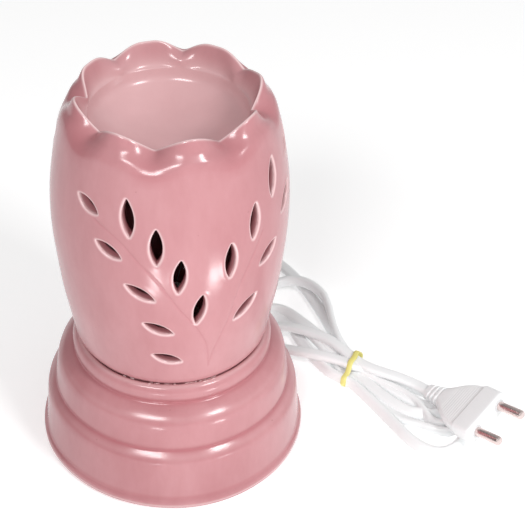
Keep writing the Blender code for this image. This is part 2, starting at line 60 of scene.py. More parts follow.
def make_camera():
    data = bpy.data.cameras.new("camera")
    data.lens, data.sensor_width, data.shift_x = CAMERA_LENS, 36.0, CAMERA_SHIFT
    data.clip_start, data.clip_end = 0.05, 20.0
    camera = bpy.data.objects.new("camera", data)
    SCENE.objects.link(camera)
    camera.matrix_world = (Matrix.Translation(CAMERA_AT)
                           @ Matrix.Rotation(math.radians(90 - CAMERA_PITCH), 4, "X")
                           @ Matrix.Rotation(math.radians(CAMERA_ROLL), 4, "Z"))
    bpy.context.scene.camera = camera


# ---- lines and profiles ----

WAVES = 9                           # sine waves in one set of ripples


def smooth_line(points, step):
    """Points about one step apart along the Catmull-Rom curve through the given points."""
    points = np.asarray(points, float)
    padded = np.vstack([points[0], points, points[-1]])
    fine = []
    for a, b, c, d in zip(padded, padded[1:], padded[2:], padded[3:]):
        t = np.linspace(0, 1, 24, endpoint=False)[:, None]
        fine.append(0.5 * (2 * b + (c - a) * t + (2 * a - 5 * b + 4 * c - d) * t**2
                           + (3 * b - a - 3 * c + d) * t**3))
    fine = np.vstack([*fine, points[-1:]])
    return resampled(fine, step)


def resampled(line, step=None, count=None):
    """The same line with even spacing, measured on its first three columns."""
    along = lengths_along(line)
    if count is None:
        count = max(int(round(along[-1] / step)), 2) + 1
    at = np.linspace(0, along[-1], count)
    return np.stack([np.interp(at, along, column) for column in line.T], 1)


def lengths_along(line):
    gaps = np.linalg.norm(np.diff(line[:, :3], axis=0), axis=1)
    return np.concatenate([[0.0], np.cumsum(gaps)])


def profile_line(points, step=0.5, count=None):
    """A smooth line through points of (radius, height), at a step in mm or with a count of points."""
    line = smooth_line([(r, z, 0.0) for r, z in points], step)
    return (resampled(line, count=count) if count else line)[:, :2]


def outward(azimuth):
    angle = math.radians(azimuth)
    return Vector((math.sin(angle), -math.cos(angle), 0.0))


def spun(azimuth, radius, height):
    angle = np.radians(azimuth)
    return np.stack(np.broadcast_arrays(radius * np.sin(angle), -radius * np.cos(angle), height), -1)


def smoothstep(low, high, value):
    t = np.clip((np.asarray(value) - low) / (high - low), 0, 1)
    return t * t * (3 - 2 * t)


def bell(distance, width):
    """1 at no distance, and softly down to 0 over about twice the width."""
    return np.exp(-((distance / width) ** 2))


def ripples(points, sets):
    """A smooth random height at each point: each set has its height, wavelength and seed."""
    total = np.zeros(len(points))
    for height, wavelength, seed in sets:
        hand = np.random.default_rng(seed)
        waves = np.zeros(len(points))
        for _ in range(WAVES):
            direction = hand.normal(size=3)
            direction *= math.tau / wavelength / np.linalg.norm(direction) * hand.uniform(0.6, 1.5)
            waves += np.sin(points @ direction + hand.uniform(0, math.tau))
        total += height * (waves / math.sqrt(WAVES))
    return total


# ---- meshes ----

MERGE = 2e-6                        # metres between points that become one


def make_piece(name, points, faces, slot, body, angle=None, replaces=(), material=None, **marks):
    """A piece that rides on a body, from points in mm and faces, in its slot's material.

    Edges sharper than the angle are kept, and each named mark has a value for every point."""
    mesh = bpy.data.meshes.new(name)
    mesh.from_pydata((np.asarray(points, float) * MM).tolist(), [], faces)
    for mark, values in marks.items():
        layer = mesh.attributes.new(mark, "FLOAT", "POINT")
        layer.data.foreach_set("value", np.asarray(values, np.float32))
    work = bmesh.new()
    work.from_mesh(mesh)
    bmesh.ops.remove_doubles(work, verts=work.verts, dist=MERGE)
    bmesh.ops.recalc_face_normals(work, faces=work.faces)
    work.to_mesh(mesh)
    work.free()
    mesh.shade_smooth()
    if angle:
        mesh.set_sharp_from_angle(angle=math.radians(angle))
    mesh.materials.append(material or MATERIALS[slot])
    piece = bpy.data.objects.new(name, mesh)
    SCENE.objects.link(piece)
    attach(piece, body)
    if replaces:
        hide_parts(*replaces)
    return piece


def grid_faces(rows, columns):
    """Quads between rows of points, each row closed on itself."""
    return [(i * columns + j, i * columns + (j + 1) % columns,
             (i + 1) * columns + (j + 1) % columns, (i + 1) * columns + j)
            for i in range(rows - 1) for j in range(columns)]


def end_faces(rows, columns):
    """The flat first and last faces of a sweep."""
    return [tuple(range(columns)), tuple(range((rows - 1) * columns, rows * columns))]


def swept(line, section, tilt):
    """Points and faces of a section of (across, up) points carried along a line, with flat ends."""
    along = np.gradient(line, axis=0)
    along /= np.linalg.norm(along, axis=1)[:, None]
    across = np.cross(along, (0.0, 0.0, 1.0))
    across /= np.linalg.norm(across, axis=1)[:, None]
    up = np.cross(across, along)
    lean = np.radians(tilt)[:, None]
    wide = across * np.cos(lean) + up * np.sin(lean)
    thick = up * np.cos(lean) - across * np.sin(lean)
    rings = line[:, None] + wide[:, None] * section[None, :, :1] + thick[:, None] * section[None, :, 1:]
    rows, columns = rings.shape[:2]
    return rings.reshape(-1, 3), grid_faces(rows, columns) + end_faces(rows, columns)


def make_round(name, rows, steps, slot, body, angle):
    """A fine piece about Z in a CAD piece's place.

    Each row is a radius and a height, the radius one number or one for every step round."""
    turn = np.linspace(0, math.tau, steps, endpoint=False)
    points = np.vstack([np.stack([r * np.cos(turn), r * np.sin(turn), np.full(steps, z)], 1)
                        for r, z in rows])
    make_piece(name + "_fine", points, grid_faces(len(rows), steps), slot, body, angle, [name])


# ---- lamp holder and bulb ----

ROUND_STEPS = 72
# Each round piece: its CAD name, slot and body, its closed profile of (radius, height), and the spacing
# of a curved profile's points
ROUND_PIECES = (
    ("holder_dome", "white_holder_plastic", "base", (
        (13.2, 43.7), (13.2, 33.2), (12.9, 31.4), (11.8, 29.2), (10.2, 27.4), (7.6, 26.2), (6.8, 26.0),
        (3.6, 26.0), (3.4, 26.3), (3.4, 27.6), (7.2, 27.8), (9.8, 29.0), (11.2, 32.0), (11.4, 34.0),
        (11.4, 43.7), (13.2, 43.7)), None),
    ("holder_skirt", "white_holder_plastic", "base", (
        (11.4, 44.0), (13.2, 44.0), (13.2, 48.0), (13.0, 48.2), (13.2, 48.4), (13.2, 82.6), (13.1, 83.2),
        (12.7, 83.7), (12.1, 84.0), (9.3, 84.0), (9.0, 83.7), (9.0, 82.0), (11.4, 81.4), (11.4, 44.0)),
     None),
    ("bulb_glass", "clear_glass", "bulb", (
        (0.0, 128.0), (3.2, 127.6), (6.2, 126.5), (8.8, 124.7), (11.0, 122.2), (12.7, 119.0), (13.7, 115.4),
        (14.0, 111.0), (13.9, 106.0), (13.3, 101.8), (12.2, 98.0), (10.6, 94.5), (8.9, 91.2), (7.4, 88.0),
        (6.4, 85.4), (5.95, 83.0), (5.9, 82.0), (5.3, 82.0), (5.3, 83.4), (5.8, 85.8), (6.9, 88.4),
        (8.4, 91.6), (10.1, 94.9), (11.6, 98.3), (12.7, 102.0), (13.2, 106.1), (13.3, 111.0), (13.0, 115.2),
        (12.1, 118.6), (10.5, 121.7), (8.4, 124.1), (5.9, 125.8), (3.1, 126.9), (0.0, 127.2)), 0.9),
)
RING_PROFILE = ((13.5, 0.0), (18.4, 0.0), (18.9, 0.5), (18.9, 4.5), (18.4, 5.0), (13.5, 5.0), (13.5, 0.0))
RING_BORE = 13.5
RING_RIDGES = 36                    # grip ridges round each clamping ring
RIDGE_DEPTH = 0.35
CAP_R = 6.95
CAP_SHELL_R = 6.3
CAP_HOLE = (4.7, 58.8)              # radius and height of the hole for the bulb's insulator
CAP_BOTTOM, CAP_TOP = 60.0, 82.5
THREAD_PITCH = 2.822                # E14
THREAD_DEPTH = 0.4


def make_round_pieces():
    for name, slot, body, profile, step in ROUND_PIECES:
        rows = profile_line(profile, step) if step else profile
        make_round(name, rows, ROUND_STEPS, slot, body, 50)


def make_clamp_rings():
    """The two threaded rings that clamp the holder, with grip ridges round them."""
    steps = RING_RIDGES * 6
    turn = np.linspace(0, math.tau, steps, endpoint=False)
    ridges = RIDGE_DEPTH * (np.clip(np.cos(turn * RING_RIDGES) * 1.6, -1, 1) - 1)
    for name, low in (("holder_ring_upper", 61.3), ("holder_ring_lower", 50.7)):
        rows = [(r + (ridges if r > RING_BORE else 0), low + z) for r, z in RING_PROFILE]
        make_round(name, rows, steps, "white_holder_plastic", "base", 35)


def make_cap():
    """The bulb's brass cap, with its screw thread."""
    turn = np.linspace(0, math.tau, ROUND_STEPS, endpoint=False)
    rows = [CAP_HOLE, (5.2, 58.4), (CAP_SHELL_R, 59.6)]
    for z in np.linspace(CAP_BOTTOM, CAP_TOP, 90):
        fade = smoothstep(60.0, 62.0, z) * (1 - smoothstep(78.0, 80.0, z))
        thread = 0.5 + 0.5 * np.cos(math.tau * z / THREAD_PITCH - turn)
        rows.append((CAP_R - THREAD_DEPTH * fade * thread, z))
    rows += [(CAP_SHELL_R, CAP_TOP), (CAP_SHELL_R, CAP_BOTTOM + 0.6), CAP_HOLE]
    make_round("bulb_cap", rows, ROUND_STEPS, "brass", "bulb", 60)


# ---- lead ----

CORD_WIDTH = 6.9
CORD_THICK = 4.2
CORD_STEP = 1.5
CORD_WAIST = 0.93                   # of the thickness, between the two cores
# Centre points of the lead in mm, with the tilt of its flat side in degrees (90 stands on edge)
LEAD_ROUTE = (
    # out of the stand and into the tie
    (38.4, 66.5, 8.0, 0), (42.0, 72.7, 8.0, 10), (45.6, 79.1, 7.8, 35), (50.5, 86.5, 7.2, 70),
    (57.0, 94.5, 7.0, 88), (65.0, 101.0, 8.0, 90), (74.0, 102.5, 9.0, 90), (83.0, 98.5, 9.2, 90),
    (90.0, 90.0, 8.6, 88), (93.0, 79.0, 7.6, 86), (94.3, 66.0, 6.2, 86), (96.6, 52.5, 5.4, 86),
    (100.6, 41.0, 5.0, 84), (104.2, 33.8, 5.2, 70),
    # the widest loop beside the plug
    (107.5, 28.6, 5.4, 40), (114.0, 21.0, 4.6, 15), (124.0, 10.5, 3.8, 5), (134.0, 2.5, 3.0, 0),
    (143.0, -2.5, 2.6, 0), (150.5, -7.5, 2.2, 10), (155.2, -15.0, 2.4, 35), (155.6, -24.0, 2.9, 60),
    (150.5, -32.0, 3.2, 70), (142.0, -36.0, 3.2, 70), (133.5, -33.0, 3.2, 68), (126.0, -25.0, 3.2, 60),
    (119.0, -12.5, 3.0, 55), (110.5, 2.0, 3.2, 65), (101.5, 16.0, 3.6, 80), (96.8, 20.2, 3.8, 86),
    # the middle loop behind the stand
    (90.0, 26.0, 3.6, 80), (85.0, 33.5, 3.2, 60), (80.0, 43.0, 2.6, 30), (75.0, 55.0, 2.2, 10),
    (70.5, 67.0, 2.2, 10), (64.5, 74.4, 2.6, 35), (57.0, 76.6, 3.4, 60), (50.6, 72.6, 4.2, 60),
    (49.6, 64.6, 4.8, 50), (52.6, 55.6, 5.4, 35), (58.5, 47.5, 6.0, 15), (68.0, 42.5, 6.8, 5),
    (82.0, 37.5, 7.8, 0), (95.0, 31.2, 8.4, 0), (101.0, 27.6, 8.4, 0),
    # the loop that runs along behind the plug's lead
    (108.2, 26.4, 6.4, 25), (116.0, 22.8, 4.4, 60), (124.0, 19.0, 3.6, 80), (132.0, 14.6, 3.6, 84),
    (140.0, 9.6, 3.6, 86), (147.0, 3.6, 3.6, 86), (151.6, -3.8, 3.6, 88), (151.4, -11.4, 3.6, 88),
    (146.4, -15.6, 3.7, 84), (140.6, -13.2, 3.8, 82), (137.4, -6.4, 3.8, 80), (134.4, 1.0, 3.6, 82),
    (129.0, 8.0, 3.6, 84), (122.0, 13.8, 3.6, 84), (114.0, 18.8, 3.6, 84), (107.2, 24.6, 3.6, 84),
    (103.0, 32.0, 3.6, 86),
    # the farthest loop behind the stand
    (100.0, 42.0, 3.2, 86), (96.6, 50.0, 3.2, 80), (93.2, 64.0, 3.0, 60), (88.2, 83.0, 2.4, 30),
    (81.0, 103.0, 2.2, 10), (70.0, 123.0, 2.2, 10), (56.0, 138.0, 2.6, 35), (40.0, 141.5, 2.8, 50),
    (27.0, 133.0, 2.8, 50), (23.6, 117.0, 2.8, 45), (31.0, 101.5, 2.6, 30), (44.0, 91.0, 2.4, 20),
    (58.0, 81.5, 2.4, 10), (71.0, 71.5, 3.4, 10), (81.5, 57.0, 4.8, 10), (89.5, 42.5, 4.4, 10),
    (95.8, 29.6, 3.2, 10), (99.6, 23.0, 2.6, 0),
    # the narrow loop beside the plug
    (104.0, 16.0, 2.4, 0), (110.0, 7.5, 2.2, 0), (117.0, -1.5, 2.2, 5), (125.0, -9.5, 2.6, 20),
    (134.0, -14.5, 3.0, 45), (141.5, -19.0, 3.1, 65), (148.5, -20.6, 3.2, 75), (154.0, -17.0, 3.3, 78),
    (154.0, -10.8, 3.4, 74), (148.5, -7.6, 3.5, 66), (139.5, -7.2, 3.6, 50), (129.0, -5.0, 3.8, 25),
    (119.0, 3.5, 4.2, 10), (110.0, 15.5, 4.2, 5), (102.6, 27.0, 3.4, 0),
    # the nearest loop behind the stand
    (98.0, 34.5, 3.4, 10), (92.5, 43.5, 5.2, 10), (85.0, 55.0, 6.4, 10), (75.5, 68.0, 6.2, 15),
    (67.5, 77.0, 6.0, 35), (59.5, 79.6, 6.2, 60), (52.8, 76.0, 7.0, 62), (52.4, 68.4, 7.8, 50),
    (59.0, 62.6, 8.2, 25), (72.0, 59.4, 8.4, 8), (88.0, 51.0, 8.4, 0), (98.0, 39.5, 8.4, 0),
    (103.6, 31.6, 8.4, 0),
    # to the plug
    (110.0, 25.6, 8.4, 0), (118.0, 21.4, 8.0, 0), (127.0, 17.6, 7.2, 0), (135.0, 13.0, 6.4, 0),
    (139.2, 9.3, 6.6, 0), (141.4, 6.8, 7.0, 0),
)


def cord_section(sides=9):
    """A flat twin cord: a stadium, a little waisted between its two cores."""
    radius = CORD_THICK / 2
    section = []
    for side in (1, -1):
        for a in np.linspace(-90, 90, sides):
            x = side * ((CORD_WIDTH - CORD_THICK) / 2 + radius * math.cos(math.radians(a)))
            section.append((x, side * radius * math.sin(math.radians(a))))
        section.append((0.0, side * radius * CORD_WAIST))
    return np.array(section)


def make_lead():
    """The whole lead as one piece, and the line through its middle."""
    route = smooth_line(LEAD_ROUTE, CORD_STEP)
    # a lead that stands on edge has its middle higher, and nothing goes through the table
    on_edge = np.abs(np.sin(np.radians(route[:, 3])))
    half = CORD_THICK / 2 + (CORD_WIDTH - CORD_THICK) / 2 * on_edge + 0.1
    route[:, 2] = np.maximum(route[:, 2], half)
    lead = make_piece("mains_lead", *swept(route[:, :3], cord_section(), route[:, 3]), "white_pvc", "base",
                      50, ["cord_lead", "cord_hank", "cord_loops", "cord_tail"])
    return lead, route[:, :3]


# ---- band ----

TIE_AT = (101.5, 29.0)
TIE_HEADING = -28.0
BAND_THICK = 0.9
# The band's inner side round the bundle, as (across, up), and its section as (along, outwards)
BAND_OUTLINE = (
    (-12.4, 3.6), (-11.6, 6.2), (-8.0, 7.0), (-4.4, 9.4), (-1.5, 11.0), (3.0, 11.3), (7.4, 10.6),
    (10.2, 8.0), (12.2, 5.4), (12.6, 2.6), (10.6, 0.9), (4.0, 0.7), (-4.0, 0.7), (-10.6, 0.9),
    (-12.4, 3.6),
)
BAND_SECTION = ((-1.5, 0.0), (-1.5, 0.55), (-1.15, 0.9), (0.0, 1.0), (1.15, 0.9), (1.5, 0.55), (1.5, 0.0))


def make_band():
    """A flat band drawn tight over the bundle."""
    ring = profile_line(BAND_OUTLINE, 0.8)[:-1]
    edge = np.roll(ring, -1, 0) - np.roll(ring, 1, 0)
    normal = np.stack([edge[:, 1], -edge[:, 0]], 1)
    normal /= np.linalg.norm(normal, axis=1)[:, None]
    if np.sum(normal * ring) < 0:
        normal = -normal
    heading = math.radians(TIE_HEADING)
    along = np.array((math.cos(heading), math.sin(heading)))
    across = np.array((-math.sin(heading), math.cos(heading)))
    points = []
    for shift, lift in BAND_SECTION:
        for (a, z), n in zip(ring, normal):
            out = n * lift * BAND_THICK
            wander = 0.25 * math.sin(a * 0.7)
            x, y = TIE_AT + across * (a + out[0]) + along * (shift + wander)
            points.append((x, y, max(z + out[1], 0.15)))
    count, last = len(ring), len(BAND_SECTION) - 1
    faces = grid_faces(last + 1, count)
    faces += [(j, (j + 1) % count, last * count + (j + 1) % count, last * count + j)
              for j in range(count)]
    return make_piece("bundle_band", points, faces, "yellow_band", "base", 40, ["cord_band"])


# ---- plug ----

PLUG_AT = (166.1, -27.5, 20.2)
PLUG_TURN = (21.2, -17.5, -54.2)
PIN_SPACING = 19.0
PIN_R = 2.5
PIN_LENGTH = 16.0
# Distance behind the front face, half width, half thickness, corner rounding
PLUG_SECTIONS = (
    (0.0, 14.6, 4.6, 2.0), (-0.25, 15.15, 5.15, 2.4), (-0.8, 15.5, 5.5, 2.6), (-6.0, 15.7, 5.7, 2.6),
    (-11.2, 15.7, 5.7, 2.6), (-11.9, 15.5, 5.5, 2.6), (-12.2, 15.0, 5.1, 2.6), (-16.0, 14.6, 5.0, 2.8),
    (-20.0, 13.6, 4.9, 3.0), (-24.0, 11.6, 4.7, 3.0), (-28.0, 8.8, 4.5, 3.2), (-31.0, 6.9, 4.3, 3.2),
    (-33.0, 6.2, 4.1, 3.2), (-44.0, 4.6, 3.3, 2.9),
)
# Distances behind the front face where the body has a ring of points: start, end and number
PLUG_STATIONS = ((0.0, -0.8, 4), (-2.0, -11.0, 5), (-11.2, -12.4, 5), (-12.8, -31.5, 70), (-31.8, -44.0, 60))
GRIP_SPAN = (-13.6, -26.0)
GRIP_PITCH = 1.55
NECK_SLOTS = (-33.6, -36.8, -40.0)  # the gaps between the neck's ribs
# Outlines of a pin and of the collar at its foot, as (radius, distance before the front face)
PIN_OUTLINE = (
    (0.0, PIN_LENGTH), (PIN_R - 0.9, PIN_LENGTH), (PIN_R - 0.35, PIN_LENGTH - 0.3),
    (PIN_R, PIN_LENGTH - 1.0), (PIN_R, 0.05), (0.0, 0.05),
)
COLLAR_OUTLINE = (
    (PIN_R + 0.05, 0.02), (PIN_R + 0.05, 0.75), (PIN_R + 0.45, 0.7), (PIN_R + 0.95, 0.2), (PIN_R + 1.0, -0.2),
)
PIN_STEPS = 40


def posed(points):
    """Points in the plug's own frame, with X out of its front face, set in place."""
    turn = Euler([math.radians(a) for a in PLUG_TURN]).to_matrix()
    return np.asarray(points, float) @ np.array(turn).T + PLUG_AT


def rounded_ring(half_width, half_thick, rounding, corner=7):
    """A rounded rectangle, with points along its wide sides too."""
    ring = []
    for side_y, side_z, start in ((1, 1, 0), (-1, 1, 90), (-1, -1, 180), (1, -1, 270)):
        for a in np.linspace(start, start + 90, corner):
            angle = math.radians(a)
            ring.append((side_y * (half_width - rounding) + rounding * math.cos(angle),
                         side_z * (half_thick - rounding) + rounding * math.sin(angle)))
        last_y, last_z = ring[-1]
        if start in (0, 180):
            for t in (0.25, 0.5, 0.75):
                ring.append((last_y + t * (-2 * side_y * (half_width - rounding)), last_z))
    return ring


def make_plug():
    """The moulding with its ribbed grip and neck, and the two pins in their collars."""
    keys = np.array(PLUG_SECTIONS)
    rings = []
    for along in np.concatenate([np.linspace(*station) for station in PLUG_STATIONS]):
        half_width, half_thick, rounding = (
            np.interp(-along, -keys[:, 0], keys[:, k]) for k in (1, 2, 3))
        if GRIP_SPAN[1] < along < GRIP_SPAN[0]:
            wave = 0.5 + 0.5 * math.cos(math.tau * (along - GRIP_SPAN[0]) / GRIP_PITCH)
            half_thick -= 0.15 * wave
            half_width -= 0.12 * wave
        slot = max(math.exp(-((along - gap) / 0.7) ** 4) for gap in NECK_SLOTS)
        half_width -= 1.9 * slot
        half_thick -= 0.35 * slot
        rounding = min(rounding, half_thick - 0.1, half_width - 0.1)
        rings += [(along, y, z) for y, z in rounded_ring(half_width, half_thick, rounding)]
    columns = len(rounded_ring(*PLUG_SECTIONS[0][1:]))
    rows = len(rings) // columns
    faces = grid_faces(rows, columns) + end_faces(rows, columns)
    pieces = [make_piece("plug_moulding", posed(rings), faces, "white_pvc", "base", 50, ["plug_body"])]
    turn = np.linspace(0, math.tau, PIN_STEPS, endpoint=False)
    for number, side in ((1, 1), (2, -1)):
        # each pin, and its collar in painted shade
        for name, outline, slot, material, angle, replaces in (
                ("pin", PIN_OUTLINE, "nickel_plate", None, 30, [f"plug_pin_{number}"]),
                ("pin_collar", COLLAR_OUTLINE, "white_pvc", SHADED_COLLAR_PVC, 40, ())):
            ring = [(x, side * PIN_SPACING / 2 + r * math.cos(t), r * math.sin(t))
                    for r, x in outline for t in turn]
            faces = grid_faces(len(outline), PIN_STEPS)
            pieces.append(make_piece(f"{name}_{number}", posed(ring), faces, slot, "base", angle, replaces,
                                     material))
    return pieces


# ---- strain relief ----

EXIT_AZIMUTH = 150.0
EXIT_AT = (70.3, 8.0)               # radius and height of the sleeve's face on the stand
SLEEVE_RINGS = 5
SLEEVE_STEPS = 32


def make_relief():
    """A tapered moulding with ribs, round the lead where it leaves the stand."""
    profile = [(2.6, -7.0), (4.0, -7.0), (4.0, 0.4), (6.2, 0.6), (6.4, 1.0), (6.2, 1.9), (5.0, 2.3)]
    for ring in range(SLEEVE_RINGS):
        along = 3.4 + ring * 3.2
        radius = 4.9 - ring * 0.24
        profile += [(radius, along), (radius, along + 1.5), (radius - 0.8, along + 1.9),
                    (radius - 0.8, along + 2.8)]
    profile += [(3.7, 19.6), (3.6, 20.8), (2.6, 21.0), (2.6, -7.0)]
    reach = np.array(outward(EXIT_AZIMUTH))
    side = np.cross((0.0, 0.0, 1.0), reach)
    start = reach * EXIT_AT[0] + np.array((0, 0, EXIT_AT[1]))
    turn = np.linspace(0, math.tau, SLEEVE_STEPS, endpoint=False)
    points = [start + reach * x + side * 1.12 * r * math.cos(t) + np.array((0, 0, 0.88 * r * math.sin(t)))
              for r, x in profile for t in turn]
    faces = grid_faces(len(profile), SLEEVE_STEPS)
    return make_piece("relief_sleeve", points, faces, "white_pvc", "base", 40, ["strain_relief"])


# ---- stand ----

STAND_OUTSIDE = (
    (46.5, 61.0), (46.5, 65.3), (46.7, 66.1), (47.3, 66.7), (48.6, 66.95), (50.2, 66.0), (51.5, 63.6),
    (51.8, 60.6), (51.3, 58.5), (51.4, 57.3), (52.5, 56.4), (54.6, 55.0), (56.4, 53.6), (57.5, 52.6),
    (58.5, 51.5), (59.3, 50.3), (59.9, 48.7), (60.4, 46.3), (61.0, 41.4), (61.5, 37.4), (61.6, 35.9),
    (61.5, 35.0), (61.9, 34.2), (62.6, 33.5), (63.4, 32.75), (64.3, 31.85), (65.1, 30.95), (65.8, 29.9),
    (66.3, 28.5), (66.7, 26.2), (67.1, 21.6), (67.6, 15.6), (68.2, 9.2), (68.5, 6.9), (68.9, 5.8),
    (69.6, 5.1), (70.1, 3.9), (70.1, 2.4), (69.9, 1.2), (69.1, 0.5), (67.4, 0.4),
)
STAND_INSIDE = (
    (63.4, 0.6), (63.0, 1.4), (62.9, 4.9), (61.0, 5.2), (60.4, 12.0), (59.0, 22.0), (56.4, 29.0),
    (54.6, 35.0), (53.2, 44.0), (49.5, 49.5), (44.5, 53.6), (40.0, 55.4), (34.0, 56.0), (14.8, 56.0),
    (14.5, 56.4), (14.5, 60.6), (14.8, 61.0), (46.9, 61.0),
)
# Radius, height, width and strength of the painted shade in the two grooves, at the seam and above the bottom
# bead, where the glaze also pools
STAND_SHADE_AND_POOLS = ((51.0, 57.7, 1.9, 0.75), (61.4, 34.9, 1.6, 0.75), (46.8, 65.6, 1.5, 0.8),
               (68.5, 6.9, 1.2, 0.35))
# Radius, height, width and strength of thin glaze and painted highlights on the ring, shoulders and bottom
# edge
STAND_EDGES_AND_HIGHLIGHTS = ((48.9, 66.9, 1.3, 0.3), (57.2, 51.5, 1.6, 0.1), (63.4, 31.4, 1.6, 0.1),
               (70.1, 2.4, 0.8, 0.45))
STAND_RIPPLES = ((0.16, 60.0, 11), (0.02, 16.0, 12))
INSIDE_SHADE = 0.4                   # painted shade: the inside is darker all over
BEADS = 44                          # blobs of glaze on the seat's ring
BEAD_PLACES = ((46.6, 66.2), (47.2, 66.5), (48.4, 66.8))


def strength_at(line, spots):
    """The strongest of several soft spots at each point of a profile."""
    return np.max([amount * bell(np.hypot(line[:, 0] - r, line[:, 1] - z), width)
                   for r, z, width, amount in spots], 0)


def blob(centre, sizes, azimuth):
    """A flattened ball with its sides along the azimuth, outwards and up."""
    turn, lean = np.linspace(0, math.tau, 10, endpoint=False), np.linspace(-1.5, 1.5, 7)
    unit = np.array([(math.cos(a) * math.cos(b), math.sin(a) * math.cos(b), math.sin(b))
                     for b in lean for a in turn]) * sizes
    out = np.array(outward(azimuth))
    along = np.cross((0.0, 0.0, 1.0), out)
    return (centre + unit[:, :1] * along + unit[:, 1:2] * out + unit[:, 2:] * np.array((0, 0, 1.0)),
            grid_faces(7, 10))


def make_stand():
    """The stand, with beads of run glaze on its seat."""
    outside = profile_line(STAND_OUTSIDE, 0.55)
    line = np.vstack([outside, STAND_INSIDE])
    number = np.arange(len(line))
    points = np.vstack([spun(np.arange(360.0), r, z) for r, z in line])
    shown = np.repeat((number > 4) & (number < len(outside) - 3), 360)
    radial = points[:, :2] / np.linalg.norm(points[:, :2], axis=1)[:, None]
    points[:, :2] += radial * (ripples(points, STAND_RIPPLES) * shown)[:, None]
    # pale: thin glaze on edges and painted highlights; deeper: painted shade in the grooves and at the seam
    pale_and_lit, pool_and_shade = strength_at(line, STAND_EDGES_AND_HIGHLIGHTS), strength_at(line, STAND_SHADE_AND_POOLS)
    # painted shade all over the inside
    pool_and_shade = np.where(number >= len(outside), INSIDE_SHADE, pool_and_shade)
    blocks = [(points, grid_faces(len(line), 360), np.repeat(pale_and_lit, 360), np.repeat(pool_and_shade, 360))]
    hand = np.random.default_rng(21)
    for _ in range(BEADS):
        azimuth = hand.normal(2.0, 19.0)
        radius, height = BEAD_PLACES[hand.integers(3)]
        size = (hand.uniform(0.4, 1.5), hand.uniform(0.25, 0.5), hand.uniform(0.2, 0.42))
        bead, faces = blob(np.array(outward(azimuth)) * radius + (0, 0, height), size, azimuth)
        # the beads' random paleness paints their highlights
        blocks.append((bead, faces, hand.uniform(0.0, 0.9), 0.0))
    return make_glazed("stand", blocks, "base", 70, ["base_stand"])


# ---- shade ----

LOBE_TURN = 45.0                    # degrees from one notch in the rim to the next
FIRST_NOTCH = -9.4
SEAM = FIRST_NOTCH - 59.0           # an azimuth that no slot crosses
# The outside as (radius, height): the side, then a petal's middle and the notch between two petals
SIDE = (
    (45.9, 61.3), (46.3, 66.0), (48.2, 68.6), (49.6, 71.2), (50.5, 77.0), (52.4, 88.0),
    (54.6, 101.0), (56.4, 116.0), (57.8, 131.5), (58.2, 146.0), (57.5, 160.5), (55.6, 174.0),
    (54.1, 182.0), (52.8, 188.0),
)
PETAL = ((52.8, 188.0), (51.9, 192.2), (50.9, 196.2), (49.7, 199.1), (48.3, 200.9), (46.9, 202.8),
         (45.7, 205.6), (44.8, 207.9), (44.0, 208.6))
NOTCH = ((52.8, 188.0), (51.9, 191.4), (51.3, 193.2), (50.6, 194.5), (49.7, 195.6), (48.6, 196.7),
         (47.2, 197.7), (45.0, 198.6), (41.6, 199.4), (38.4, 200.0))
# The notches at the back aren't pressed in as far
BACK_NOTCH = ((52.8, 188.0), (51.9, 191.6), (51.2, 194.6), (50.4, 197.4), (49.0, 199.8), (47.2, 201.6),
              (45.6, 202.3), (44.4, 202.5))
# The inside from the rim down: the lips of a petal and of the notches, then the dish
PETAL_LIP = ((44.0, 208.6), (43.3, 208.1), (42.5, 206.0), (41.0, 201.5), (39.8, 198.4), (38.9, 197.1),
             (38.0, 196.6))
BACK_LIP = ((44.4, 202.5), (43.2, 202.3), (41.0, 201.8), (39.4, 201.0), (38.4, 199.9), (38.0, 198.4),
            (38.0, 196.6))
NOTCH_LIP = ((38.4, 200.0), (37.9, 199.6), (37.8, 198.8), (37.9, 197.8), (38.0, 197.1), (38.0, 196.6))
DISH = ((38.0, 196.6), (37.5, 194.0), (37.0, 192.4), (36.4, 191.3), (35.6, 190.3), (34.3, 189.3),
        (31.6, 187.6), (27.4, 184.9), (21.8, 181.9), (15.0, 179.8), (8.0, 178.8), (0.0, 178.6))
DISH_LIGHT = 0.38                    # painted light: the dish is paler, as it faces up to the light
# The chamber under the dish, that the bulb stands in
CHAMBER = (
    (40.9, 61.3), (41.2, 67.0), (44.4, 78.0), (47.2, 88.0), (51.2, 116.0), (53.0, 143.0),
    (52.3, 158.0), (50.4, 173.0), (47.6, 182.5), (44.5, 187.6),
)
CHAMBER_ROOF = ((44.5, 187.6), (40.0, 187.4), (36.4, 186.8), (28.6, 178.6), (20.4, 172.4),
                (10.8, 168.0), (0.0, 166.6))
# Azimuth, height, lean in degrees and length of each leaf slot on the front; the back is the same
LEAVES = (
    (-20.0, 173.0, -7.0, 18.0), (-6.5, 159.5, 1.0, 18.8), (4.0, 143.0, 7.0, 18.6),
    (13.5, 121.5, 9.0, 18.4), (-42.0, 173.5, -64.0, 13.2), (-29.5, 154.0, -65.0, 13.8),
    (-14.5, 132.5, -60.0, 15.2), (-6.5, 110.0, -64.0, 14.8), (-2.5, 88.5, -68.0, 14.4),
    (28.5, 147.0, 1.0, 18.8), (42.5, 163.0, 9.0, 18.2), (58.5, 178.5, 15.0, 18.0),
    (39.0, 113.5, 50.0, 16.6), (52.0, 140.5, 55.0, 14.4), (70.0, 161.0, 50.0, 15.6),
    (86.0, 184.0, 45.0, 16.0),
)
LEAF_WIDTH = 5.6
LEAF_TIP = 0.35                     # radius of the rounded tips
LEAF_FILLET = 0.9                   # how far the glaze rounds the slot's edge
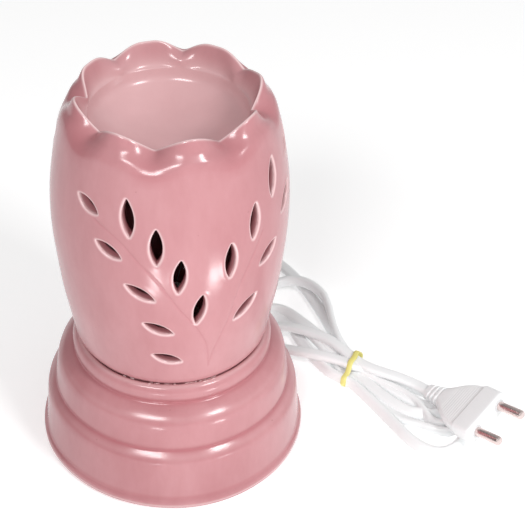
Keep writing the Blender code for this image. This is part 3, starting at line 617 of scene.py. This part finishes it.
# Scored lines between the leaves, as azimuth and height
STEMS = (
    ((20.0, 80.0), (18.0, 96.0), (12.0, 110.0), (4.0, 123.0), (-5.0, 139.0), (-14.0, 150.0),
     (-24.0, 161.0), (-37.0, 168.0)),
    ((20.0, 80.0), (23.0, 94.0), (29.0, 110.0), (32.0, 122.0), (36.0, 135.0), (47.0, 156.0)),
)
STEM_DEPTH = 0.16
STEM_WIDTH = 0.42
SWELL = 0.14                        # the glaze stands a little proud round a slot
SHADE_RIPPLES = ((0.14, 46.0, 3), (0.012, 13.0, 5))
FOOT_Z = 61.3
FOOT_RADII = (45.9, 45.7, 43.4, 41.1, 40.9)
AXIS_R = 0.02                       # the smallest ring round the axis
WIDEST_R = 58.2
PER_DEGREE = WIDEST_R * math.pi / 180   # mm of the side's girth
FULL_TURN = 360 * PER_DEGREE


class Skin:
    """The shade's outer face by azimuth and by distance up from its foot, in degrees and mm."""

    def __init__(self):
        self.side = profile_line(SIDE)
        self.petal, self.notch, self.saddle = (
            profile_line(line, count=60) for line in (PETAL, NOTCH, BACK_NOTCH))
        self.shoulder = lengths_along(self.side)[-1]
        self.rim = self.shoulder + lengths_along(self.petal)[-1]
        self.heights = np.concatenate([self.side[:, 1], self.petal[1:, 1]])
        self.ups = np.concatenate([lengths_along(self.side),
                                   self.shoulder + lengths_along(self.petal)[1:]])

    def up_at(self, height):
        return np.interp(height, self.heights, self.ups)

    def points(self, azimuth, up):
        at = lengths_along(self.side)
        radius = np.interp(up, at, self.side[:, 0])
        height = np.interp(up, at, self.side[:, 1])
        t = np.clip((up - self.shoulder) / (self.rim - self.shoulder), 0, 1)
        steps = np.linspace(0, 1, len(self.petal))
        petal = [np.interp(t, steps, self.petal[:, k]) for k in (0, 1)]
        back = at_back(azimuth)
        notch = [np.interp(t, steps, self.notch[:, k]) * (1 - back)
                 + np.interp(t, steps, self.saddle[:, k]) * back for k in (0, 1)]
        share = notch_share(azimuth, t)
        above = up > self.shoulder
        radius = np.where(above, petal[0] + (notch[0] - petal[0]) * share, radius)
        height = np.where(above, petal[1] + (notch[1] - petal[1]) * share, height)
        return spun(azimuth, radius, height)

    def normals(self, azimuth, up):
        east = self.points(azimuth + 0.3, up) - self.points(azimuth - 0.3, up)
        north = self.points(azimuth, up + 0.3) - self.points(azimuth, up - 0.3)
        normal = np.cross(east, north)
        return normal / np.linalg.norm(normal, axis=-1, keepdims=True)


def notch_share(azimuth, t):
    """How much of the notch's section applies there: 1 in a notch, 0 in a petal's middle."""
    turn = (azimuth - FIRST_NOTCH) % LOBE_TURN
    off = np.minimum(turn, LOBE_TURN - turn) / (LOBE_TURN / 2)
    crease = 0.03 + 0.13 * (1 - t)
    off = np.hypot(off, crease) - crease
    back = at_back(azimuth)
    width = (0.5 + 0.5 * t) * (1 - back) + 0.8 * back
    power = (1.5 - 0.4 * t) * (1 - back) + 1.05 * back
    return 1 - np.sin(np.clip(off / width, 0, 1) * math.pi / 2) ** power


def at_back(azimuth):
    """1 for the back's three notches, 0 for the others."""
    return smoothstep(0.25, 0.55, -np.cos(np.radians(azimuth)))


def all_leaves():
    """Every slot, each a little different: azimuth, height, lean, half length and half width."""
    hand = np.random.default_rng(7)
    for spray in (0.0, 180.0):
        for azimuth, height, lean, length in LEAVES:
            yield (azimuth + spray, height, math.radians(lean + hand.uniform(-2, 2)),
                   length / 2 * hand.uniform(0.98, 1.02), LEAF_WIDTH / 2 * hand.uniform(0.94, 1.06))


def leaf_ring(leaf, offset, parts=13):
    """Points round a slot at a distance outside its edge, as offsets along and up the side."""
    _, _, lean, a, b = leaf
    a, b = a - LEAF_TIP, b - LEAF_TIP
    radius = (a * a + b * b) / (2 * b)
    sweep = math.asin(a / radius)
    grow = offset + LEAF_TIP
    ring = []
    for side in (1, -1):
        for angle in np.linspace(-sweep, sweep, parts):
            x = (radius + grow) * math.cos(angle) - (radius - b)
            ring.append((side * x, side * (radius + grow) * math.sin(angle)))
        for angle in np.linspace(sweep, math.pi - sweep, 6)[1:-1]:
            ring.append((side * grow * math.cos(angle), side * (a + grow * math.sin(angle))))
    ring = np.array(ring)
    return np.stack([ring[:, 0] * math.cos(lean) + ring[:, 1] * math.sin(lean),
                     ring[:, 1] * math.cos(lean) - ring[:, 0] * math.sin(lean)], 1)


def leaf_distance(leaf, dx, dy):
    """How far outside a slot's edge; negative inside it."""
    _, _, lean, a, b = leaf
    a, b = a - LEAF_TIP, b - LEAF_TIP
    radius = (a * a + b * b) / (2 * b)
    sweep = math.asin(a / radius)
    wide = np.abs(dx * math.cos(lean) - dy * math.sin(lean))
    long = np.abs(dx * math.sin(lean) + dy * math.cos(lean))
    reach = np.hypot(wide + radius - b, long)
    beside = np.arctan2(long, wide + radius - b) < sweep
    return np.where(beside, reach - radius, np.hypot(wide, long - a)) - LEAF_TIP


def line_distance(line, x, y):
    """Distance from each point to a bent line."""
    best = np.full(len(x), 1e9)
    for (ax, ay), (bx, by) in zip(line, line[1:]):
        t = np.clip(((x - ax) * (bx - ax) + (y - ay) * (by - ay))
                    / ((bx - ax) ** 2 + (by - ay) ** 2), 0, 1)
        best = np.minimum(best, np.hypot(x - ax - t * (bx - ax), y - ay - t * (by - ay)))
    return best


def cut_sheet(grid, loops, holes):
    """Triangles over flat points with closed loops of points cut out of them."""
    points, edges = list(map(tuple, grid)), []
    for loop in loops:
        first = len(points)
        points += list(map(tuple, loop))
        edges += [(first + i, first + (i + 1) % len(loop)) for i in range(len(loop))]
    found = delaunay_2d_cdt([Vector(p) for p in points], edges, [], 0, 1e-6)
    flat = np.array([tuple(v) for v in found[0]])
    faces = np.array([tuple(f) for f in found[2]])
    middle = flat[faces].mean(1)
    return flat, faces[~holes(middle)]


def away_from(grid, extra, gap):
    """The grid's points that are at least a gap from every extra point."""
    tree = KDTree(len(extra))
    for i, (x, y) in enumerate(extra):
        tree.insert((x, y, 0.0), i)
    tree.balance()
    return grid[[tree.find((x, y, 0.0))[2] >= gap for x, y in grid]]


def make_shade():
    """The shade: its pierced outside, the slots' walls, the chamber, and the lip and the dish."""
    skin = Skin()
    leaves = list(all_leaves())
    columns = SEAM + np.arange(361.0)

    def girth_per_degree(height):
        return np.interp(height, skin.side[:, 1], skin.side[:, 0]) * math.pi / 180

    # flat places of the slots' rings and of the scored lines: girth in mm, distance up in mm
    def flat_leaf(leaf, offset):
        azimuth, height = leaf[:2]
        ring = leaf_ring(leaf, offset)
        turn = (azimuth + ring[:, 0] / girth_per_degree(height) - SEAM) % 360
        return np.stack([turn * PER_DEGREE, skin.up_at(height + ring[:, 1])], 1)

    def distance_to(leaf, flat):
        azimuth, height = leaf[:2]
        turn = (flat[:, 0] / PER_DEGREE + SEAM - azimuth + 180) % 360 - 180
        rise = np.interp(flat[:, 1], skin.ups, skin.heights) - height
        return leaf_distance(leaf, turn * girth_per_degree(height), rise)

    def slot_distance(flat):
        return np.min([distance_to(leaf, flat) for leaf in leaves], 0)

    stems = []
    for spray in (0.0, 180.0):
        for stem in STEMS:
            line = np.array([((az + spray - SEAM) % 360 * PER_DEGREE, float(skin.up_at(z)))
                             for az, z in stem])
            stems.append(smooth_line(np.column_stack([line, np.zeros(len(line))]), 1.0)[:, :2])

    drops = [LEAF_FILLET * (1 - math.sin(math.radians(a))) for a in (67.5, 45, 22.5, 0)]
    rings = [flat_leaf(leaf, d) for leaf in leaves for d in (*drops, 1.5, 2.2)]
    extra = np.vstack(rings)
    for line in stems:
        side = np.stack([-np.gradient(line[:, 1]), np.gradient(line[:, 0])], 1)
        side /= np.linalg.norm(side, axis=1)[:, None]
        strip = np.vstack([line + side * k * STEM_WIDTH * 0.6 for k in (-2, -1, 0, 1, 2)])
        extra = np.vstack([extra, strip[slot_distance(strip) > 1.2]])
    edges = [flat_leaf(leaf, 0.0) for leaf in leaves]

    ups = np.concatenate([np.linspace(0, skin.shoulder, 112)[:-1],
                          np.linspace(skin.shoulder, skin.rim, 34)])
    grid = np.stack(np.meshgrid((columns - SEAM) * PER_DEGREE, ups), -1).reshape(-1, 2)
    border = ((grid[:, 0] < 0.1) | (grid[:, 0] > FULL_TURN - 0.1)
              | (grid[:, 1] < 0.01) | (grid[:, 1] > skin.rim - 0.01))
    inner = grid[~border]
    inner = away_from(inner[slot_distance(inner) > 2.6], extra, 0.5)
    sheet, faces = cut_sheet(np.vstack([grid[border], inner, extra]), edges,
                             lambda middle: slot_distance(middle) < 0)

    def lifted(flat):
        """The sheet's points in place, with the glaze's relief, and the marks for its colour."""
        azimuth, up = SEAM + flat[:, 0] / PER_DEGREE, flat[:, 1]
        place = skin.points(azimuth, up)
        slot = slot_distance(flat)
        groove = np.min([line_distance(line[::2], flat[:, 0], flat[:, 1]) for line in stems], 0)
        groove = np.where(slot > 1.0, groove, 9.0)
        near = np.clip(slot, 0, LEAF_FILLET)
        fall = LEAF_FILLET - np.sqrt(np.maximum(LEAF_FILLET**2 - (LEAF_FILLET - near) ** 2, 0))
        fall = np.where(slot < 0.02, LEAF_FILLET, fall)
        lift = -fall + SWELL * bell(slot - 1.6, 0.8) - STEM_DEPTH * bell(groove, STEM_WIDTH)
        lift += ripples(place, SHADE_RIPPLES)
        fade = smoothstep(0, 3, up) * smoothstep(0, 2, skin.rim - up)
        place = place + skin.normals(azimuth, up) * (lift * fade)[:, None]
        # pale on the slots' edges and the rim where the glaze thins, which also paints their highlights
        pale_and_lit = np.maximum(0.7 * bell(slot - 0.45, 0.5), 0.9 * bell(skin.rim - up, 0.7))
        t = np.clip((up - skin.shoulder) / (skin.rim - skin.shoulder), 0, 1)
        # painted shade at the foot and in the notches' pockets; the scored lines darker from pooled glaze and
        # painted shade
        pool_and_shade = np.max([0.22 * bell(groove, 0.5), 0.7 * bell(up, 5.0),
                       1.4 * notch_share(azimuth, t) * t * (1 - t)], 0)
        return place, pale_and_lit, pool_and_shade

    outer, pale_and_lit, pool_and_shade = lifted(sheet)
    blocks = [(outer, faces.tolist(), pale_and_lit, pool_and_shade)]

    # the slots' walls, and the chamber's side with the same slots in it
    chamber = profile_line(CHAMBER)
    chamber_up = lengths_along(chamber)
    loops = []
    for leaf, edge in zip(leaves, edges):
        mouth = lifted(edge)[0]
        inward = -np.array(outward(leaf[0]))
        radius = np.interp(mouth[:, 2], chamber[:, 1], chamber[:, 0])
        along = mouth[:, :2] @ inward[:2]
        gap = np.maximum(along**2 - (mouth[:, :2] ** 2).sum(1) + radius**2, 0)
        deep = mouth + inward * (-along - np.sqrt(gap))[:, None]
        turn = (np.degrees(np.arctan2(deep[:, 0], -deep[:, 1])) - SEAM) % 360
        up = np.minimum(np.interp(deep[:, 2], chamber[:, 1], chamber_up), chamber_up[-1] - 0.4)
        loop = np.stack([turn * PER_DEGREE, up], 1)
        loops.append(loop)
        back = chamber_place(loop, chamber, chamber_up)
        shares = np.array((0.0, 0.05, 0.16, 0.4, 0.7, 1.0))[:, None, None]
        wall = mouth + (back - mouth) * shares
        count = len(edge)
        # pale at the slot's mouth where the glaze thins, also a painted highlight, then painted shade deeper
        # in
        blocks.append((wall.reshape(-1, 3), grid_faces(len(shares), count),
                       np.repeat((0.75, 0.5, 0.15, 0, 0, 0), count),
                       np.repeat((0, 0, 0.1, 0.25, 0.4, 0.5), count)))
    rows = np.linspace(0, chamber_up[-1], 44)
    coarse = np.stack(np.meshgrid(np.arange(0, 361, 3.0) * PER_DEGREE, rows[1:]), -1).reshape(-1, 2)
    foot = np.stack([np.arange(361) * PER_DEGREE, np.zeros(361)], 1)

    def inside_slot(flat):
        return np.any([in_loop(loop, flat) for loop in loops], 0)

    border = (coarse[:, 0] < 0.1) | (coarse[:, 0] > FULL_TURN - 0.1) | (coarse[:, 1] > rows[-1] - 0.1)
    inner = coarse[~border]
    inner = away_from(inner[~inside_slot(inner)], np.vstack(loops), 0.8)
    sheet, faces = cut_sheet(np.vstack([foot, coarse[border], inner]), loops, inside_slot)
    inside = chamber_place(sheet, chamber, chamber_up)
    # the chamber's inside is in painted shade all over
    blocks.append((inside, faces.tolist(), 0.0, INSIDE_SHADE))

    azimuths = columns[:-1]
    blocks.append(ring_block([spun(azimuths, r, FOOT_Z) for r in FOOT_RADII], 0.3, 0.0))
    roof = [spun(azimuths[::3], max(r, AXIS_R), z) for r, z in profile_line(CHAMBER_ROOF, count=24)]
    # the chamber's roof is in painted shade too
    blocks += [ring_block(roof, 0.0, INSIDE_SHADE), lip_and_dish(azimuths)]
    return make_glazed("shade", blocks, "shade", None, ["tulip_shade"])


def lip_and_dish(azimuths):
    """The shade's inside, from the rim over the lip and down into the dish."""
    lips = [profile_line(lip, count=26) for lip in (PETAL_LIP, NOTCH_LIP, BACK_LIP)]
    back, share = at_back(azimuths), notch_share(azimuths, 1.0)
    rings, pale_and_lit, pool_and_shade = [], [], []
    for t, (pr, pz), (nr, nz), (br, bz) in zip(np.linspace(0, 1, 26), *lips):
        lip_r, lip_z = nr + (br - nr) * back, nz + (bz - nz) * back
        rings.append(spun(azimuths, pr + (lip_r - pr) * share, pz + (lip_z - pz) * share))
        # rim: thin glaze and painted highlight; petals' inside: painted light, stronger near the dish
        pale_and_lit.append(0.10 + 0.8 * bell(t, 0.06) + 0.28 * bell(t - 1, 0.4))
        # a touch of painted shade part way down the lip
        pool_and_shade.append(0.08 * smoothstep(0.08, 0.3, t) * (1 - smoothstep(0.85, 1.0, t)))
    dish = profile_line(DISH, count=70)[1:]
    rings += [spun(azimuths, max(r, AXIS_R), z) for r, z in dish]
    # painted light in the whole dish
    pale_and_lit += [DISH_LIGHT] * len(dish)
    pool_and_shade += [0.0] * len(dish)
    return ring_block(rings, np.repeat(pale_and_lit, len(azimuths)), np.repeat(pool_and_shade, len(azimuths)))


def chamber_place(flat, chamber, chamber_up):
    """Flat points laid on the chamber's side."""
    return spun(SEAM + flat[:, 0] / PER_DEGREE, np.interp(flat[:, 1], chamber_up, chamber[:, 0]),
                np.interp(flat[:, 1], chamber_up, chamber[:, 1]))


def in_loop(loop, points):
    """Whether each point is inside a closed outline."""
    inside = np.zeros(len(points), bool)
    close = np.flatnonzero((np.abs(points - loop.mean(0)) < 14).all(1))
    x, y = points[close].T
    hit = np.zeros(len(close), bool)
    for (ax, ay), (bx, by) in zip(loop, np.roll(loop, -1, 0)):
        crosses = (ay > y) != (by > y)
        with np.errstate(divide="ignore", invalid="ignore"):
            hit ^= crosses & (x < (bx - ax) * (y - ay) / (by - ay) + ax)
    inside[close] = hit
    return inside


def ring_block(rings, pale_and_lit, pool_and_shade):
    """Rings of points joined into a block for make_glazed."""
    return np.vstack(rings), grid_faces(len(rings), len(rings[0])), pale_and_lit, pool_and_shade


def make_glazed(name, blocks, body, angle, replaces):
    """One glazed piece of several blocks, each with its points, faces and marks of paleness and of deeper
    colour, which also carry painted light and painted shade.
    """
    faces, first = [], 0
    for points, block_faces, _, _ in blocks:
        faces += [tuple(i + first for i in face) for face in block_faces]
        first += len(points)
    marks = {mark: np.concatenate([np.broadcast_to(block[k], len(block[0])) for block in blocks])
             for k, mark in ((2, "pale_and_lit"), (3, "pool_and_shade"))}
    points = np.vstack([block[0] for block in blocks])
    return make_piece(name, points, faces, "pink_glaze", body, angle, replaces, **marks)


# ---- materials ----


class Nodes:
    """One material's nodes: each method adds some and returns the socket they end in."""

    def __init__(self, name):
        self.material = bpy.data.materials.new(name)
        self.material.use_nodes = True
        self.tree = self.material.node_tree
        self.shader = self.tree.nodes["Principled BSDF"]

    def add(self, kind, **settings):
        node = self.tree.nodes.new(kind)
        for key, value in settings.items():
            setattr(node, key, value)
        return node

    def link(self, source, target):
        self.tree.links.new(source, target)

    def set(self, **values):
        for key, value in values.items():
            socket = self.shader.inputs[key.replace("_", " ")]
            socket.default_value = (*value, 1.0) if isinstance(value, tuple) else value

    def place(self, stretch=None):
        """The piece's own coordinates, in metres."""
        out = self.add("ShaderNodeTexCoord").outputs["Object"]
        if stretch:
            mapping = self.add("ShaderNodeMapping")
            mapping.inputs["Scale"].default_value = stretch
            self.link(out, mapping.inputs["Vector"])
            out = mapping.outputs["Vector"]
        return out

    def noise(self, scale, detail=3.0, stretch=None, roughness=0.5):
        node = self.add("ShaderNodeTexNoise")
        node.inputs["Scale"].default_value = scale
        node.inputs["Detail"].default_value = detail
        node.inputs["Roughness"].default_value = roughness
        self.link(self.place(stretch), node.inputs["Vector"])
        return node.outputs["Fac"]

    def spread(self, source, low, high, to_low=0.0, to_high=1.0):
        node = self.add("ShaderNodeMapRange")
        for key, value in (("From Min", low), ("From Max", high), ("To Min", to_low), ("To Max", to_high)):
            node.inputs[key].default_value = value
        self.link(source, node.inputs["Value"])
        return node.outputs["Result"]

    def mix(self, factor, first, second):
        """A colour between first and second; each is a colour or a socket."""
        node = self.add("ShaderNodeMix", data_type="RGBA")
        self.link(factor, node.inputs[0])
        for socket, value in ((node.inputs[6], first), (node.inputs[7], second)):
            if isinstance(value, tuple):
                socket.default_value = (*value, 1.0)
            else:
                self.link(value, socket)
        return node.outputs[2]

    def mark(self, name):
        return self.add("ShaderNodeAttribute", attribute_name=name).outputs["Fac"]

    def bump(self, source, strength, distance):
        node = self.add("ShaderNodeBump")
        node.inputs["Strength"].default_value = strength
        node.inputs["Distance"].default_value = distance
        self.link(source, node.inputs["Height"])
        self.link(node.outputs["Normal"], self.shader.inputs["Normal"])


def glaze():
    """Pink glaze over a pale body: deeper where it pools, with painted shade in grooves, pockets, slots and
    the chamber; pale where it thins on an edge, with painted highlights and painted light in the dish.
    """
    m = Nodes("pink_glaze")
    tone = m.spread(m.noise(26.0, 5.0, stretch=(1.0, 1.0, 0.4), roughness=0.62), 0.32, 0.68)
    colour = m.mix(tone, (0.450, 0.183, 0.199), (0.535, 0.252, 0.269))
    # darker where the glaze pools, and painted shade in the grooves, the notches' pockets, the slots and the
    # chamber
    colour = m.mix(m.mark("pool_and_shade"), colour, (0.400, 0.115, 0.133))
    # paler where the glaze thins on an edge, with painted highlights and painted light on the lips and in the
    # dish
    colour = m.mix(m.mark("pale_and_lit"), colour, (0.86, 0.66, 0.66))
    speck = m.spread(m.noise(420.0, 1.0), 0.80, 0.83, 0.0, 0.5)
    colour = m.mix(speck, colour, (0.36, 0.15, 0.15))
    m.link(colour, m.shader.inputs["Base Color"])
    m.link(m.spread(m.noise(60.0, 3.0), 0.3, 0.7, 0.17, 0.22), m.shader.inputs["Roughness"])
    m.set(IOR=1.5)
    m.bump(m.noise(150.0, 2.0), 0.12, 0.0004)
    return m.material


def plastic(name, colour, other, roughness, grain=900.0, strength=0.15):
    """Moulded plastic: a slight drift in tone, and a fine grain."""
    m = Nodes(name)
    m.link(m.mix(m.spread(m.noise(40.0, 3.0), 0.3, 0.7), colour, other),
           m.shader.inputs["Base Color"])
    m.link(m.spread(m.noise(120.0, 2.0), 0.3, 0.7, roughness - 0.05, roughness + 0.05),
           m.shader.inputs["Roughness"])
    m.set(IOR=1.48)
    m.bump(m.noise(grain, 2.0), strength, 0.0002)
    return m.material


def metal(name, colour, other, roughness, brush=None):
    """Metal with a drift in tone and fine marks, drawn out one way if brush gives a stretch."""
    m = Nodes(name)
    m.link(m.mix(m.spread(m.noise(90.0, 3.0), 0.3, 0.7), colour, other), m.shader.inputs["Base Color"])
    marks = m.noise(500.0, 2.0, stretch=brush)
    m.link(m.spread(marks, 0.3, 0.7, roughness - 0.06, roughness + 0.08), m.shader.inputs["Roughness"])
    m.set(Metallic=1.0)
    m.bump(marks, 0.05, 0.0001)
    return m.material


def glass():
    """Clear glass with a faint drift in tone."""
    m = Nodes("clear_glass")
    m.link(m.mix(m.noise(30.0), (0.93, 0.96, 0.96), (0.97, 0.99, 0.99)), m.shader.inputs["Base Color"])
    m.set(Roughness=0.02, IOR=1.47, Transmission_Weight=1.0)
    return m.material


# ---- floor and light ----

# in metres
FLOOR_HALF = 4.0
WARMER_MIDDLE = Vector((0.0, 0.0, 0.10))
BOX_DISTANCE = 1.7
GLOW_REACH = 0.221
# The room's light from left to right, so that the warmer's left side is the darker one
ROOM_LIGHT = (("From Min", -1.0), ("From Max", 0.7), ("To Min", 0.10), ("To Max", 0.62))


def make_floor():
    mesh = bpy.data.meshes.new("floor")
    corners = [(x * FLOOR_HALF, y * FLOOR_HALF, 0) for x, y in ((-1, -1), (1, -1), (1, 1), (-1, 1))]
    mesh.from_pydata(corners, [], [(0, 1, 2, 3)])
    floor = bpy.data.objects.new("floor", mesh)
    SCENE.objects.link(floor)
    m = Nodes("pale_floor")
    m.set(Base_Color=(0.88, 0.88, 0.88), Roughness=0.6, IOR=1.35, Emission_Color=(1.0, 1.0, 1.0),
          Emission_Strength=0.335)
    mesh.materials.append(m.material)


def make_lamp(name, size, power, place, turn):
    """A rectangular lamp that the camera doesn't see."""
    data = bpy.data.lights.new(name, "AREA")
    data.shape = "RECTANGLE"
    data.size, data.size_y = size
    data.energy = power
    lamp = bpy.data.objects.new(name, data)
    SCENE.objects.link(lamp)
    lamp.location = place
    lamp.rotation_euler = turn
    lamp.visible_camera = False


def make_soft_box(name, azimuth, elevation, size, power):
    """A soft box that faces the middle of the warmer."""
    lean = math.radians(elevation)
    way = outward(azimuth) * math.cos(lean) + Vector((0, 0, math.sin(lean)))
    make_lamp(name, size, power, WARMER_MIDDLE + way * BOX_DISTANCE, way.to_track_quat("Z", "Y").to_euler())


def make_glow(name, azimuth, size, power):
    """A bright patch low over the floor, as a lamp's reflection in it would be."""
    make_lamp(name, size, power, outward(azimuth) * GLOW_REACH + Vector((0, 0, 0.003)),
              (math.pi, 0.0, math.radians(azimuth)))


def make_world():
    world = bpy.data.worlds.new("studio")
    bpy.context.scene.world = world
    world.use_nodes = True
    tree = world.node_tree
    background = tree.nodes["Background"]
    background.inputs["Color"].default_value = (1.0, 1.0, 1.0, 1.0)
    place = tree.nodes.new("ShaderNodeTexCoord")
    split = tree.nodes.new("ShaderNodeSeparateXYZ")
    fade = tree.nodes.new("ShaderNodeMapRange")
    for key, value in ROOM_LIGHT:
        fade.inputs[key].default_value = value
    tree.links.new(place.outputs["Generated"], split.inputs["Vector"])
    tree.links.new(split.outputs["X"], fade.inputs["Value"])
    tree.links.new(fade.outputs["Result"], background.inputs["Strength"])


# ---- the warmer ----

make_camera()
make_world()
make_floor()
bpy.context.scene.view_settings.view_transform = "Standard"
make_soft_box("left_box", -23.0, 43.0, (0.60, 0.32), 12.4)
make_soft_box("right_box", 46.0, 41.0, (0.36, 0.32), 11.2)
make_glow("left_glow", -12.0, (0.030, 0.045), 0.075)
make_glow("right_glow", 37.0, (0.036, 0.055), 0.110)

# the pins' collars in a darker copy of the white PVC: painted shade in their recess
SHADED_COLLAR_PVC = plastic("pin_recess_shade", (0.70, 0.70, 0.71), (0.76, 0.76, 0.77), 0.5)
MATERIALS = {
    "pink_glaze": glaze(),
    "white_pvc": plastic("white_pvc", (0.90, 0.915, 0.92), (0.935, 0.95, 0.955), 0.36),
    "yellow_band": plastic("yellow_band", (0.80, 0.73, 0.22), (0.86, 0.80, 0.30), 0.45),
    # the nickel's pinkish tint is a painted reflection
    "nickel_plate": metal("nickel_plate", (0.74, 0.61, 0.59), (0.82, 0.70, 0.68), 0.27),
    "white_holder_plastic": plastic("white_holder_plastic", (0.80, 0.79, 0.74), (0.86, 0.85, 0.80), 0.36),
    "black_plastic": plastic("black_plastic", (0.022, 0.022, 0.023), (0.035, 0.035, 0.036), 0.48, 700, 0.3),
    "rubber": plastic("rubber", (0.030, 0.030, 0.030), (0.045, 0.045, 0.045), 0.75, 1200, 0.4),
    "steatite": plastic("steatite", (0.74, 0.72, 0.66), (0.80, 0.78, 0.72), 0.55, 1500, 0.3),
    "brass": metal("brass", (0.76, 0.56, 0.26), (0.82, 0.64, 0.34), 0.28, brush=(1.0, 1.0, 12.0)),
    "steel": metal("steel", (0.52, 0.52, 0.54), (0.62, 0.62, 0.63), 0.34),
    "solder": metal("solder", (0.55, 0.55, 0.54), (0.66, 0.66, 0.64), 0.42),
    "clear_glass": glass(),
    "wire_live": plastic("wire_live", (0.24, 0.085, 0.030), (0.29, 0.11, 0.04), 0.45),
    "wire_neutral": plastic("wire_neutral", (0.045, 0.13, 0.46), (0.06, 0.17, 0.55), 0.45),
}
# The CAD pieces that stay as they are, by their material
KEPT_NODES = {
    "white_pvc": ("cord_inner",),
    "black_plastic": ("bottom_cover", "bulb_insulator"),
    "rubber": ("foot_1", "foot_2", "foot_3", "foot_4"),
    "steatite": ("holder_core",),
    "brass": ("screw_shell", "centre_contact", "terminal_live", "terminal_neutral"),
    "steel": ("terminal_screw_live", "terminal_screw_neutral", "bulb_filament"),
    "solder": ("bulb_contact",),
    "clear_glass": ("bulb_stem",),
    "wire_live": ("wire_live",),
    "wire_neutral": ("wire_neutral",),
}

lead, lead_path = make_lead()
band = make_band()
plug_pieces = make_plug()
relief = make_relief()
lead_length = float(lengths_along(lead_path)[-1]) * MM

make_round_pieces()
make_clamp_rings()
make_cap()
make_shade()
make_stand()
for slot, names in KEPT_NODES.items():
    for name in names:
        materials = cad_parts[name].data.materials
        materials.clear()
        materials.append(MATERIALS[slot])
